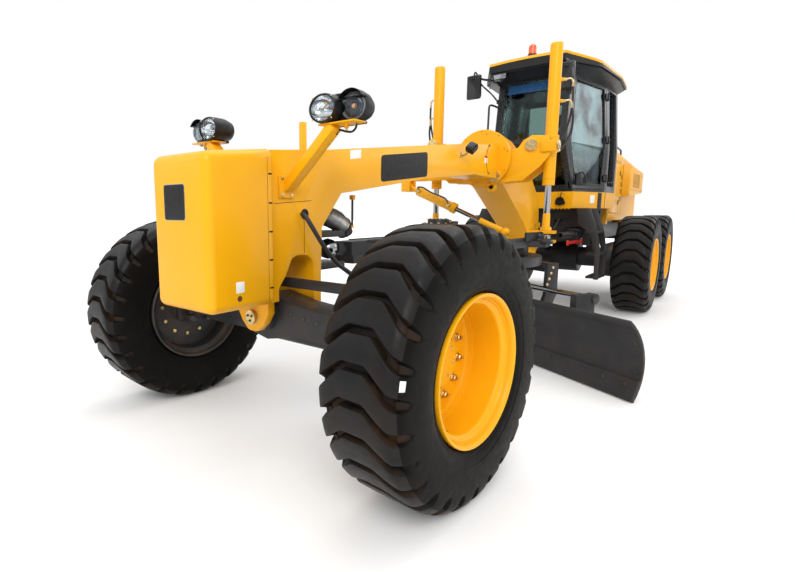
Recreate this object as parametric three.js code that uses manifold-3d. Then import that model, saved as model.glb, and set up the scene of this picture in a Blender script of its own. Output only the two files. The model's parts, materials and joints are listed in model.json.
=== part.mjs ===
// Motor grader with an articulated frame, tandem drive and a circle-mounted moldboard.
// Millimetres, +X forward, +Y to the machine's left, +Z up.
// Origin on the ground, on the centreline, below the front axle.
import * as THREE from 'three';
import { mergeVertices } from 'three/addons/utils/BufferGeometryUtils.js';
import { RoundedBoxGeometry } from 'three/addons/geometries/RoundedBoxGeometry.js';
import Module from 'manifold-3d';

const wasm = await Module();
wasm.setup();

// ---------------------------------------------------------------- driving dimensions
const GAP = 0.4;                 // clearance kept between touching solids
const WHEELBASE = 6460;          // front axle to tandem pivot
const TANDEM = 1530;             // distance between the two tandem wheel axes
const TRACK = 2158;              // wheel centre to wheel centre
const AXLE_Z = 650;              // wheel centre above the ground
const TYRE_N = 24;               // facets round a tyre
const TYRE_R = AXLE_Z / Math.cos(Math.PI / TYRE_N);
const STEER_REST = -4.5;         // front wheels are turned a little to the right
const KINGPIN_Y = 930;           // steering axis from the centreline
const LEAN_Y = 780;              // lean pivot from the centreline
const LEAN_Z = 700;
const OSC_Z = 755;               // front axle oscillation pin height
const BEAM_HW = 170;             // half width of the front frame
const ARTIC_X = -4550;           // articulation pin
const BALL = [-430, 0, 1110];    // drawbar ball
const CIRCLE_X = -2650;          // centre of the circle
const BLADE_YAW = -29.4;         // circle rotation as parked
const BLADE_L = 3960;            // moldboard length
const BLADE_H = 610;             // moldboard height
const BLADE_OFF = -165;          // moldboard centre along its own length from the circle centre
const LIFT_X = -3100;            // lift cylinders
const LIFT_Y = 560;
const LIFT_Z = 2040;             // lift cylinder trunnion height
const SADDLE_Z = 1900;

const rad = (d) => (d * Math.PI) / 180;

// ---------------------------------------------------------------- materials
const mat = (hex, rough, metal) => new THREE.MeshStandardMaterial({ color: hex, roughness: rough, metalness: metal });
const YELLOW = () => mat(0xf2a414, 0.4, 0.0);
const CHARCOAL = () => mat(0x2e2f31, 0.5, 0.1);
const DARK = () => mat(0x1c1d1f, 0.6, 0.0);
const TYRE = () => mat(0x161618, 0.85, 0.0);
const CHROME = () => mat(0xc9ccd0, 0.12, 1.0);
const GLASS = () => new THREE.MeshStandardMaterial({ color: 0x8fa9a6, roughness: 0.05, metalness: 0, transparent: true, opacity: 0.4 });
const SEAT = () => mat(0x202124, 0.8, 0.0);
const IRON = () => mat(0x3b3c3e, 0.6, 0.5);
const ORANGE = () => mat(0xf04a1c, 0.3, 0.0);
const LAMP = () => mat(0x151618, 0.35, 0.0);

// ---------------------------------------------------------------- geometry helpers
const clean = (g) => {
  const c = g.index ? g.toNonIndexed() : g.clone();
  const o = new THREE.BufferGeometry();
  o.setAttribute('position', c.getAttribute('position').clone());
  return mergeVertices(o, 1e-4);
};
const toSolid = (g) => {
  const m = clean(g);
  const make = (idx) => new wasm.Manifold(new wasm.Mesh({
    numProp: 3,
    vertProperties: new Float32Array(m.getAttribute('position').array),
    triVerts: new Uint32Array(idx),
  }));
  const idx = Array.from(m.index.array);
  // drop triangles that collapsed when their vertices merged
  const keep = [];
  for (let i = 0; i < idx.length; i += 3) {
    const [a, b, c] = [idx[i], idx[i + 1], idx[i + 2]];
    if (a !== b && b !== c && a !== c) keep.push(a, b, c);
  }
  let s = make(keep);
  if (s.volume() < 0) {
    const flip = [];
    for (let i = 0; i < keep.length; i += 3) flip.push(keep[i], keep[i + 2], keep[i + 1]);
    s = make(flip);
  }
  return s;
};
const fromSolid = (s) => {
  const m = s.getMesh();
  const np = m.numProp;
  const n = m.vertProperties.length / np;
  const pos = new Float32Array(n * 3);
  for (let i = 0; i < n; i++) for (let k = 0; k < 3; k++) pos[i * 3 + k] = m.vertProperties[i * np + k];
  const g = new THREE.BufferGeometry();
  g.setAttribute('position', new THREE.BufferAttribute(pos, 3));
  g.setIndex(Array.from(m.triVerts));
  return g;
};
// every shape below is a manifold solid; M turns it into a mesh geometry
const S = toSolid;
const add = (...a) => a.flat().reduce((p, q) => p.add(q));
const cut = (a, ...b) => b.flat().reduce((p, q) => p.subtract(q), a);

const box = (x0, x1, y0, y1, z0, z1) => {
  const g = new THREE.BoxGeometry(Math.abs(x1 - x0), Math.abs(y1 - y0), Math.abs(z1 - z0));
  g.translate((x0 + x1) / 2, (y0 + y1) / 2, (z0 + z1) / 2);
  return S(g);
};
const rbox = (x0, x1, y0, y1, z0, z1, r, seg = 1) => {
  const g = new RoundedBoxGeometry(Math.abs(x1 - x0), Math.abs(y1 - y0), Math.abs(z1 - z0), seg, r);
  g.translate((x0 + x1) / 2, (y0 + y1) / 2, (z0 + z1) / 2);
  return S(g);
};
// cylinder between two points
const rod = (p, q, r, n = 16, r2 = r, phase = 0) => {
  const a = new THREE.Vector3(...p), b = new THREE.Vector3(...q);
  const d = b.clone().sub(a);
  const g = new THREE.CylinderGeometry(r2, r, d.length(), n, 1);
  g.rotateY(phase);
  g.translate(0, d.length() / 2, 0);
  g.applyQuaternion(new THREE.Quaternion().setFromUnitVectors(new THREE.Vector3(0, 1, 0), d.clone().normalize()));
  g.translate(a.x, a.y, a.z);
  return S(g);
};
const ball = (p, r, n = 10) => {
  const g = new THREE.SphereGeometry(r, n, Math.round(n * 0.7));
  g.translate(...p);
  return S(g);
};
// outline in the XZ plane, extruded along Y
const sideShape = (pts, y0, y1) => {
  const sh = new THREE.Shape(pts.map(([x, z]) => new THREE.Vector2(x, z)));
  const g = new THREE.ExtrudeGeometry(sh, { depth: y1 - y0, bevelEnabled: false });
  g.rotateX(Math.PI / 2);            // (x, z, d) -> (x, -d, z)
  g.translate(0, y1, 0);
  return S(g);
};
// outline in the XY plane, extruded along Z
const planShape = (pts, z0, z1, holes = []) => {
  const sh = new THREE.Shape(pts.map(([x, y]) => new THREE.Vector2(x, y)));
  for (const h of holes) sh.holes.push(new THREE.Path(h.map(([x, y]) => new THREE.Vector2(x, y))));
  const g = new THREE.ExtrudeGeometry(sh, { depth: z1 - z0, bevelEnabled: false });
  g.translate(0, 0, z0);
  return S(g);
};
// outline in the YZ plane, extruded along X
const frontShape = (pts, x0, x1) => {
  const sh = new THREE.Shape(pts.map(([y, z]) => new THREE.Vector2(y, z)));
  const g = new THREE.ExtrudeGeometry(sh, { depth: x1 - x0, bevelEnabled: false });
  const m = new THREE.Matrix4().set(0, 0, 1, x0, 1, 0, 0, 0, 0, 1, 0, 0, 0, 0, 0, 1);
  g.applyMatrix4(m);
  return S(g);
};
// ring or disc turned about the Y axis; profile holds [radius, along Y]
const turnedY = (prof, n, at = [0, 0, 0], phase = Math.PI / n) => {
  const g = new THREE.LatheGeometry(prof.map(([r, y]) => new THREE.Vector2(r, y)), n);
  g.rotateY(phase);
  g.translate(...at);
  return S(g);
};
// swept tube with a round section
const tube = (pts, r, n = 8, steps = 24) => {
  const curve = new THREE.CatmullRomCurve3(pts.map((p) => new THREE.Vector3(...p)), false, 'catmullrom', 0.3);
  const sh = new THREE.Shape();
  for (let i = 0; i <= n; i++) {
    const a = (i / n) * Math.PI * 2;
    if (i === 0) sh.moveTo(r, 0); else sh.lineTo(r * Math.cos(a), r * Math.sin(a));
  }
  return S(new THREE.ExtrudeGeometry(sh, { steps, extrudePath: curve, bevelEnabled: false }));
};
const plate3 = (pts, t) => {
  // flat plate of thickness t from a planar ring of 3-D points
  const v = pts.map((p) => new THREE.Vector3(...p));
  const o = v[0], u = v[1].clone().sub(o).normalize();
  const nrm = u.clone().cross(v[v.length - 1].clone().sub(o)).normalize();
  const w = nrm.clone().cross(u);
  const sh = new THREE.Shape(v.map((p) => { const d = p.clone().sub(o); return new THREE.Vector2(d.dot(u), d.dot(w)); }));
  const g = new THREE.ExtrudeGeometry(sh, { depth: t, bevelEnabled: false });
  g.applyMatrix4(new THREE.Matrix4().makeBasis(u, w, nrm));
  g.translate(o.x, o.y, o.z);
  return S(g);
};
const mirrorY = (s) => s.scale([1, -1, 1]);

const grader = new THREE.Group();
const put = (name, solid, material, parent = grader) => {
  const m = new THREE.Mesh(fromSolid(solid), material);
  m.name = name;
  parent.add(m);
  return m;
};

// ---------------------------------------------------------------- wheels
const RIM = [
  [0, 20], [296, 20], [303, 202], [352, 210], [352, 182], [316, 165],
  [316, -165], [352, -182], [352, -210], [300, -202], [296, 0], [0, 0],
];
const TYRE_PROFILE = [
  [316.5, -164.4], [316.5, 164.4], [352.7, 181.4], [362, 204], [440, 219], [540, 219],
  [615, 200], [TYRE_R, 165], [TYRE_R, -165], [615, -200], [540, -219], [440, -219], [362, -204], [352.7, -181.4], [316.5, -164.4],
];
const rimGeo = (side) => (side > 0 ? turnedY(RIM, TYRE_N) : mirrorY(turnedY(RIM, TYRE_N)));
const tyreGeo = turnedY(TYRE_PROFILE, TYRE_N);
const wheel = (name, x, side, parent, local = false) => {
  const g = new THREE.Group();
  g.position.set(x, local ? side * (TRACK / 2 - KINGPIN_Y) : side * TRACK / 2, local ? 0 : AXLE_Z);
  parent.add(g);
  put(`tyre_${name}`, tyreGeo, TYRE(), g);
  put(`rim_${name}`, rimGeo(side), YELLOW(), g);
};

// ---------------------------------------------------------------- front frame
// outline of the beam, gooseneck and front leg seen from the side
const BEAM = [
  [238.6, 1680], [-210, 1722], [-1900, 1928], [-2220, 1967], [-2660, 2003], [-2895, 2030], [-3260, 2062], [-3640, 1975],
  [-3900, 1815], [-4250, 1520], [-4300, 1400], [-4330, 1212], [-4330, 1150], [-4330, 950], [-4330, 890],
  [-4230, 800], [-4080, 830], [-3960, 1080], [-3760, 1238], [-3130, 1605], [-2940, 1690], [-2350, 1700],
  [-1450, 1617], [-440, 1480], [-365, 1471], [-175, 1260], [-165, 970], [-165, 690], [-99, 690], [-99, 1005],
  [-95, 1050], [-79, 1078], [-45, 1100], [0, 1108], [45, 1106], [75, 1097], [92, 1080], [134, 1000], [190, 930],
  [190, 672], [238.6, 672],
];
const artic = (z0, z1, x1) => add(
  rod([ARTIC_X, 0, z0], [ARTIC_X, 0, z1], 120, 24),
  box(ARTIC_X, x1, -120, 120, z0, z1),
);
const hitch = add(
  box(-500, -160, -90, 90, 1192, 1232),
  box(-500, -160, -90, 90, 988, 1028),
);
const articLug = (s) => add(
  box(-4150, -3990, s > 0 ? 100 : -440, s > 0 ? 440 : -100, 985, 1020),
  box(-4150, -3990, s > 0 ? 100 : -440, s > 0 ? 440 : -100, 1096, 1131),
  box(-4150, -3990, s > 0 ? 100 : -262, s > 0 ? 262 : -100, 985, 1131),
);
// the front plate narrows to a lug round the axle pin
const lugSide = (s) => frontShape([[s * 172, 857], [s * 130, 857], [s * 130, 785], [s * 92, 722], [s * 45, 678], [s * 20, 670], [s * 172, 670]], 186, 240);
const frontFrame = add(
  cut(sideShape(BEAM, -BEAM_HW, BEAM_HW), lugSide(1), lugSide(-1)),
  artic(1150, 1212, -4250), artic(890, 950, -4250),
  rod([ARTIC_X, 0, 880], [ARTIC_X, 0, 1222], 40, 16),
  hitch,
  rod([-165, 0, OSC_Z], [262, 0, OSC_Z], 40, 24),
  articLug(1), articLug(-1),
  box(-211, -179, -17, 17, 1640, 1897),
  // hydraulic hose out of the leg's grommet, and the flexible conduit behind the leg
  tube([[0, 150, 1345], [0, 196, 1330], [-25, 225, 1270], [-90, 255, 1160], [-180, 285, 1050], [-290, 320, 965]], 12, 6, 12),
  tube([[-150, 0, 1330], [-300, 0, 1345], [-450, 0, 1330], [-570, 0, 1285], [-620, 0, 1200]], 56, 10, 8),
);
put('front_frame', frontFrame, YELLOW());

// counterweight block bolted to the nose
const nose = rbox(60, 700, -235, 235, 860, 1700, 55, 3).intersect(
  sideShape([[239, 850], [705, 850], [705, 1632], [239, 1684]], -300, 300),
);
put('front_block', nose, YELLOW());

// saddle: ring round the beam with two arms that carry the lift cylinders
const beamTool = add(
  sideShape(BEAM, -BEAM_HW - GAP, BEAM_HW + GAP).translate([0, 0, GAP]),
  sideShape(BEAM, -BEAM_HW - GAP, BEAM_HW + GAP).translate([0, 0, -GAP]),
);
const saddleArm = (s) => {
  const out = [
    [s * 60, 1980], [s * 60, 1645], [s * 400, 1665], [s * 560, 1800], [s * 600, 1850], [s * 640, 1900], [s * 640, 2040], [s * 620, 2085],
    [s * 470, 2100], [s * 390, 2060], [s * 340, 1990], [s * 200, 1965],
  ];
  const core = [[s * 60, 1980], [s * 60, 1645], [s * 270, 1657], [s * 330, 1760], [s * 400, 1850], [s * 400, 2065], [s * 390, 2060], [s * 340, 1990], [s * 200, 1965]];
  return add(frontShape(out, -3008, -2980), frontShape(out, -3220, -3192), frontShape(core, -3200, -3000));
};
const saddle = cut(
  add(
    rod([-3220, 0, SADDLE_Z], [-2960, 0, SADDLE_Z], 262, 24),
    rod([-2962, 0, SADDLE_Z], [-2900, 0, SADDLE_Z], 290, 24),
    saddleArm(1), saddleArm(-1),
    // lug for the side shift cylinder, on the right arm
    box(-2765, -2737, -800, -695, 1575, 1750), box(-2663, -2635, -800, -695, 1575, 1750),
    box(-2990, -2635, -800, -695, 1700, 1760), box(-2990, -2905, -800, -250, 1700, 1800),
    // lifting eye
    cut(rod([-2985, 90, 1610], [-2955, 90, 1610], 52, 16), rod([-3000, 90, 1596], [-2940, 90, 1596], 22, 12)),
    // boss on the right arm
    rod([-3006, -585, 2085], [-2935, -585, 2085], 72, 20),
  ),
  beamTool,
);
put('saddle', saddle, YELLOW());

// work lamps on square-tube arms
const lamp = (s) => add(
  box(74, 186, s > 0 ? BEAM_HW + GAP : -BEAM_HW - GAP - 14, s > 0 ? BEAM_HW + GAP + 14 : -BEAM_HW - GAP, 1428, 1553),
  tube([[120, s * 206, 1495], [118, s * 270, 1565], [112, s * 460, 1745], [111, s * 490, 1800]], 34, 4, 4),
  box(90, 150, s > 0 ? 180 : -222, s > 0 ? 222 : -180, 1460, 1530),
  rbox(20, 165, s * 535 - 175, s * 535 + 175, 1795, 1950, 55),
);
put('lamp_left', lamp(1), LAMP());
put('lamp_right', lamp(-1), LAMP());

// ---------------------------------------------------------------- front axle
const axleBeam = cut(
  add(
    frontShape([
      [-760, 655], [-640, 640], [-200, 640], [0, 600], [200, 640], [640, 640], [760, 655],
      [760, 745], [640, 800], [230, 835], [0, 880], [-230, 835], [-640, 800], [-760, 745],
    ], -70, 130),
    rod([-78, 0, OSC_Z], [183, 0, OSC_Z], 95, 24),
    // steering ram barrel carried behind the beam
    box(-215, -60, -60, 60, 600, 640), rod([-185, -330, 560], [-185, 330, 560], 58, 20),
    box(-215, -155, -60, 60, 555, 640),
  ),
  rod([-90, 0, OSC_Z], [190, 0, OSC_Z], 46.5, 24),
  // the ends narrow so that the steered rims clear them
  box(62, 200, 600, 800, 500, 900), box(62, 200, -800, -600, 500, 900),
  box(-100, -62, 600, 800, 500, 900), box(-100, -62, -800, -600, 500, 900),
  // bore of the ram
  rod([-185, -400, 560], [-185, 400, 560], 29, 20),
);
// slots at the ends for the lean brackets' ears
const axle = cut(axleBeam, box(-30, 30, 660, 800, 500, 900), box(-30, 30, -800, -660, 500, 900));
put('front_axle', add(axle), CHARCOAL());

// lean bracket: hangs on the axle end, carries the kingpin
const leanBracket = (s) => {
  const Y = (y) => s * y;
  const b = (x0, x1, y0, y1, z0, z1) => box(x0, x1, Math.min(Y(y0), Y(y1)), Math.max(Y(y0), Y(y1)), z0, z1);
  return add(
    b(-24, 24, 712, 840, 655, 745),                     // ear in the axle slot
    b(-24, 24, 712, 776, 700, 992),                     // upright with the lean bar's pin at its top
    b(-24, 24, 770, 870, 620, 800),
    b(-55, 55, 815, 880, 615, 800),
    rod([0, Y(KINGPIN_Y), 610], [0, Y(KINGPIN_Y), 800], 52, 20),
    b(-40, 40, 860, KINGPIN_Y, 615, 800),
  );
};
// knuckle: turns on the kingpin and carries the wheel spindle; built about the kingpin axis at wheel height
const knuckle = (s) => {
  const b = (x0, x1, y0, y1, z0, z1) => box(x0, x1, Math.min(s * y0, s * y1), Math.max(s * y0, s * y1), z0 - AXLE_Z, z1 - AXLE_Z);
  const K = TRACK / 2 - KINGPIN_Y;    // kingpin to wheel centre
  return add(
    rod([0, 0, 806 - AXLE_Z], [0, 0, 846 - AXLE_Z], 62, 20),
    rod([0, 0, 562 - AXLE_Z], [0, 0, 604 - AXLE_Z], 62, 20),
    b(-62, 62, 0, 92, 806, 846), b(-62, 62, 0, 92, 562, 604),
    b(-95, 95, 64, 104, 562, 846),
    rod([0, s * 100, 0], [0, s * (K - 0.5), 0], 120, 24),
    // steering arm, reaching back and inwards to the ram's rod
    planShape([[-30, s * 50], [-60, s * -30], [-160, s * -110], [-185, s * -150], [-215, s * -130], [-185, s * -60], [-95, s * 60]], 562 - AXLE_Z, 590 - AXLE_Z),
  );
};
for (const [nm, s] of [['left', 1], ['right', -1]]) {
  put(`lean_bracket_${nm}`, leanBracket(s), CHARCOAL());
  const g = new THREE.Group();
  g.position.set(0, s * KINGPIN_Y, AXLE_Z);
  g.rotation.z = rad(STEER_REST);
  grader.add(g);
  put(`knuckle_${nm}`, knuckle(s), CHARCOAL(), g);
  wheel(`front_${nm}`, 0, s, g, true);
}
put('lean_bar', add(
  box(34, 62, -715, 715, 915, 975),
  rod([34, 715, 945], [62, 715, 945], 30, 16), rod([34, -715, 945], [62, -715, 945], 30, 16),
), CHARCOAL());
put('tie_rod', add(
  rod([-185, -670, 560], [-185, 670, 560], 24, 16),
  rod([-185, -690, 560], [-185, -655, 560], 32, 16), rod([-185, 655, 560], [-185, 690, 560], 32, 16),
), CHROME());

// ---------------------------------------------------------------- drawbar, circle and moldboard
const drawPlan = [
  [-590, 95], [-1700, 105], [-2120, 470], [-2950, 500], [-3060, 640], [-3190, 640], [-3190, 430], [-3010, 250],
  [-3010, -250], [-3190, -430], [-3190, -640], [-3060, -640], [-2950, -500], [-2120, -470], [-1700, -105], [-590, -95],
];
const ringPts = (cx, cy, r, n) => Array.from({ length: n }, (_, i) => [cx + r * Math.cos((i / n) * 2 * Math.PI), cy + r * Math.sin((i / n) * 2 * Math.PI)]);
const liftLug = (s) => add(
  rod([LIFT_X, s * LIFT_Y, 1040], [LIFT_X, s * LIFT_Y, 1085], 60, 20),
  ball([LIFT_X, s * LIFT_Y, 1110], 48, 10),
);
const guide = (x, y) => box(x - 70, x + 70, y - 50, y + 50, 938, 1010);
const drawbar = add(
  planShape(drawPlan, 1000, 1060, [[[-2330, 260], [-2800, 300], [-2800, -300], [-2330, -260]]]),
  planShape([[-590, 80], [-1700, 90], [-2050, 330], [-2150, 330], [-2150, -330], [-2050, -330], [-1700, -90], [-590, -80]], 1055, 1150),
  rod([-506, 0, 1110], [-600, 0, 1092], 42, 16),
  liftLug(1), liftLug(-1),
  rod([-2850, 300, 1050], [-2850, 300, 1084], 50, 16),
  // circle drive gearbox and motor
  rod([-1985, 0, 1140], [-1985, 0, 1235], 150, 28), rod([-1985, 0, 1230], [-1985, 0, 1290], 95, 24),
  // circle guide shoes
  guide(-2030, 250), guide(-2030, -250), guide(-2930, 440), guide(-2930, -440),
);
put('drawbar', drawbar, CHARCOAL());
put('drawbar_ball', ball(BALL, 70, 12), CHROME());

const circleGroup = new THREE.Group();
circleGroup.position.set(CIRCLE_X, 0, 0);
circleGroup.rotation.z = rad(BLADE_YAW);
grader.add(circleGroup);
// arms hang from the circle and carry the tilt pivots
const TILT = [-360, 220];
const armPts = [[-670, 860], [-535, 860], [-530, 560], [-440, 320], [-300, 290], [-295, 190], [-360, 150], [-430, 190], [-560, 330], [-670, 560]];
const circleArm = (y0, y1) => sideShape(armPts, y0, y1);
const circle = add(
  planShape(ringPts(0, 0, 700, 40), 850, 932, [ringPts(0, 0, 585, 40)]),
  circleArm(495, 535), circleArm(-535, -495),
  box(-660, -560, -500, 500, 770, 858),
  box(-660, -580, 42, 62, 660, 780), box(-660, -580, -62, -42, 660, 780),
);
put('circle', circle, CHARCOAL(), circleGroup);

// blade section: an arc, concave to the front
const bladePt = (t, off) => {
  // t runs 0 (cutting edge) to 1 (top); off is the distance behind the face
  const a0 = -0.62, a1 = 0.92, R = 430;
  const a = a0 + (a1 - a0) * t;
  const cx = 0, cz = 0;
  return [cx - (R + off) * Math.cos(a), cz + (R + off) * Math.sin(a)];
};
const bladeSection = (t0, t1, o0, o1, n) => {
  const f = [], b = [];
  for (let i = 0; i <= n; i++) { const t = t0 + ((t1 - t0) * i) / n; f.push(bladePt(t, o0)); b.push(bladePt(t, o1)); }
  return f.concat(b.reverse());
};
// place the section: cutting edge on the ground, 105 behind the circle centre
const eLow = bladePt(0, 22);
const eFace = bladePt(0, 0);
const BX = -105 - eFace[0], BZ = -Math.min(eLow[1], eFace[1]);
const topZ = Math.max(bladePt(1, 0)[1], bladePt(1, 22)[1]) + BZ;
const kz = BLADE_H / topZ;
const place = (pts) => pts.map(([x, z]) => [x + BX, (z + BZ) * kz]);
const y0 = BLADE_OFF - BLADE_L / 2, y1 = BLADE_OFF + BLADE_L / 2;
const backAt = (z) => {             // rear surface of the moldboard at height z
  let best = [1e9, 0];
  for (let i = 0; i <= 200; i++) { const [x, zz] = place([bladePt(i / 200, 22)])[0]; if (Math.abs(zz - z) < best[0]) best = [Math.abs(zz - z), x]; }
  return best[1];
};
const railLow = backAt(190), railTop = backAt(500);
const moldboard = add(
  sideShape(place(bladeSection(0, 1, 0, 22, 12)), y0, y1),
  sideShape(place(bladeSection(0.0, 0.24, -18, 1, 4)), y0, y1),
  // slide rails on the back
  box(railLow - 34, railLow + 8, BLADE_OFF - 1250, BLADE_OFF + 1250, 165, 215),
  box(railTop - 44, railTop + 8, BLADE_OFF - 1250, BLADE_OFF + 1250, 475, 525),
  // bracket and rod of the side shift ram
  box(-330, railTop + 6, 1200, 1260, 470, 690),
  box(railTop - 44, railTop + 8, 1000, 1260, 475, 525),
  rod([-330, -360, 650], [-330, 1210, 650], 24, 16),
  rod([-330, 1195, 650], [-330, 1265, 650], 44, 16),
);
put('moldboard', moldboard, CHARCOAL(), circleGroup);

const railBack = Math.min(railLow - 34, railTop - 44);
const carrierPts = [[-420, 165], [-railBack * 0 - 318, 160], [-322, 300], [-334, 560], [-300, 600], [-300, 690], [-360, 700], [-400, 560], [-425, 300]];
const carrierPlate = (a, b) => sideShape(carrierPts, a, b);
const carrier = cut(
  add(
    carrierPlate(440, 480), carrierPlate(-480, -440),
    box(-410, -335, -445, 445, 460, 540),
    box(-400, -330, -445, 445, 175, 235),
    rod([-360, 430, 220], [-360, 488, 220], 62, 20), rod([-360, -488, 220], [-360, -430, 220], 62, 20),
    rod([-330, -1060, 650], [-330, 300, 650], 50, 20),
    box(-400, -330, -445, 445, 560, 625),
  ),
  rod([-330, -1020, 650], [-330, 520, 650], 30, 16),
);
put('blade_carrier', carrier, CHARCOAL(), circleGroup);

// tilt ram between the circle and the carrier
const tg = new THREE.Group();
circleGroup.add(tg);
const T0 = [-620, 0, 700], T1 = [-455, 0, 450];
const tdir = [T1[0] - T0[0], 0, T1[2] - T0[2]], tl = Math.hypot(tdir[0], tdir[2]);
const along = (d) => [T0[0] + (tdir[0] / tl) * d, 0, T0[2] + (tdir[2] / tl) * d];
put('tilt_barrel', cut(add(
  rod([T0[0], -36, T0[2]], [T0[0], 36, T0[2]], 34, 16),
  rod(along(0), along(205), 38, 16),
), rod(along(40), along(215), 24, 16)), DARK(), tg);
put('tilt_rod', add(
  rod(along(62), along(tl - 10), 18, 16),
  rod([T1[0], -30, T1[2]], [T1[0], 30, T1[2]], 26, 16),
), CHROME(), tg);

// ---------------------------------------------------------------- lift and side shift cylinders
for (const [nm, s] of [['left', 1], ['right', -1]]) {
  const g = new THREE.Group();
  g.position.set(LIFT_X, s * LIFT_Y, 0);
  grader.add(g);
  put(`lift_barrel_${nm}`, cut(add(
    rod([0, 0, 1614], [0, 0, 2950], 57, 20),
    rod([0, 0, 1985], [0, 0, 2095], 72, 20),
    rod([-84, 0, LIFT_Z], [84, 0, LIFT_Z], 26, 16),
  ), rod([0, 0, 1590], [0, 0, 2900], 36, 16)), YELLOW(), g);
  put(`lift_rod_${nm}`, add(
    rod([0, 0, 1180], [0, 0, 2300], 30, 20),
    rod([0, 0, 1168], [0, 0, 1202], 54, 20),
  ), CHROME(), g);
}
// side shift cylinder: from the saddle's right arm to the drawbar's left ball
const A = [-2700, -745, 1630], E = [-2850, 300, 1150];
const sv = [E[0] - A[0], E[1] - A[1], E[2] - A[2]], sl = Math.hypot(...sv);
const sat = (d) => A.map((c, i) => c + (sv[i] / sl) * d);
put('side_shift_barrel', cut(add(
  rod([A[0] - 28, A[1], A[2]], [A[0] + 28, A[1], A[2]], 44, 16),
  rod(sat(0), sat(125), 26, 16), rod(sat(118), sat(760), 46, 16), rod(sat(705), sat(765), 52, 16),
), rod(sat(180), sat(800), 28, 16)), CHARCOAL());
put('side_shift_rod', add(
  rod(sat(330), sat(sl - 10), 23, 16),
  ball(E, 45, 12),
), CHROME());

// ---------------------------------------------------------------- articulation cylinders
for (const [nm, s] of [['left', 1], ['right', -1]]) {
  const P = [-5060, s * 420, 1058], Q = [-4060, s * 360, 1058];
  const v = [Q[0] - P[0], Q[1] - P[1], 0], L = Math.hypot(...v);
  const at = (d) => P.map((c, i) => c + (v[i] / L) * d);
  put(`artic_barrel_${nm}`, cut(add(
    rod([P[0], P[1], 1030], [P[0], P[1], 1086], 50, 16),
    rod(at(30), at(90), 30, 16), rod(at(84), at(560), 44, 16),
  ), rod(at(110), at(600), 26, 16)), DARK());
  put(`artic_rod_${nm}`, add(
    rod(at(310), at(L - 30), 21, 16),
    rod([Q[0], Q[1], 1034], [Q[0], Q[1], 1082], 40, 16),
  ), CHROME());
}

// ---------------------------------------------------------------- rear frame
const rail = (s) => sideShape([
  [-5160, 950], [-5300, 930], [-8300, 930], [-8300, 1170], [-5300, 1170], [-5160, 1150],
], s > 0 ? 300 : -400, s > 0 ? 400 : -300);
const cylLug = (s) => add(
  box(-5180, -4990, s > 0 ? 340 : -480, s > 0 ? 480 : -340, 985, 1022),
  box(-5180, -4990, s > 0 ? 340 : -480, s > 0 ? 480 : -340, 1094, 1131),
  box(-5180, -5118, s > 0 ? 340 : -480, s > 0 ? 480 : -340, 985, 1131),
);
// ladder below each cab door: two uprights and three steps, hung from the cab sill
const ladder = (sd) => {
  const Y = (a, b) => [Math.min(sd * a, sd * b), Math.max(sd * a, sd * b)];
  const side = (x0, x1) => frontShape([[sd * 560, 1398], [sd * 690, 1398], [sd * 780, 1150], [sd * 830, 900], [sd * 830, 520], [sd * 780, 520], [sd * 770, 880], [sd * 700, 1100], [sd * 560, 1200]], x0, x1);
  const step = (z, a, b) => box(-4980, -4600, ...Y(a, b), z, z + 28);
  return add(
    side(-4612, -4600), side(-4980, -4968), step(530, 690, 830), step(820, 680, 830), step(1090, 650, 790),
    box(-5180, -4600, ...Y(540, 575), 1330, 1398),
  );
};
const rearFrame = cut(
  add(
    ladder(1), ladder(-1),
    rod([ARTIC_X, 0, 957], [ARTIC_X, 0, 1143], 105, 24),
    box(-5020, ARTIC_X, -100, 100, 960, 1140),
    planShape([[-4900, 100], [-5150, 300], [-5300, 400], [-5300, -400], [-5150, -300], [-4900, -100]], 950, 1150),
    rail(1), rail(-1),
    box(-5900, -5700, -310, 310, 960, 1120),
    box(-7300, -7150, -310, 310, 960, 1120),
    box(-8330, -8250, -420, 420, 860, 1170),
    cylLug(1), cylLug(-1),
    // cab mounts
    box(-5250, -5130, -560, 560, 1150, 1399), box(-5960, -5840, -560, 560, 1150, 1399),
    // belly tanks beside the rails, below the cab
    rbox(-5650, -5200, 405, 590, 900, 1300, 25), rbox(-5650, -5200, -590, -405, 900, 1300, 25),
    box(-5500, -5300, 380, 420, 1000, 1100), box(-5500, -5300, -420, -380, 1000, 1100),
  ),
  rod([ARTIC_X, 0, 900], [ARTIC_X, 0, 1200], 46.5, 24),
);
put('rear_frame', rearFrame, CHARCOAL());

// rear axle housing
const RX = -WHEELBASE;
put('rear_axle', add(
  rod([RX, -608, AXLE_Z], [RX, 608, AXLE_Z], 150, 20),
  rod([RX, -190, AXLE_Z], [RX, 190, AXLE_Z], 240, 20),
  box(RX - 130, RX + 130, 300, 400, AXLE_Z, 929.6), box(RX - 130, RX + 130, -400, -300, AXLE_Z, 929.6),
), CHARCOAL());

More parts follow.
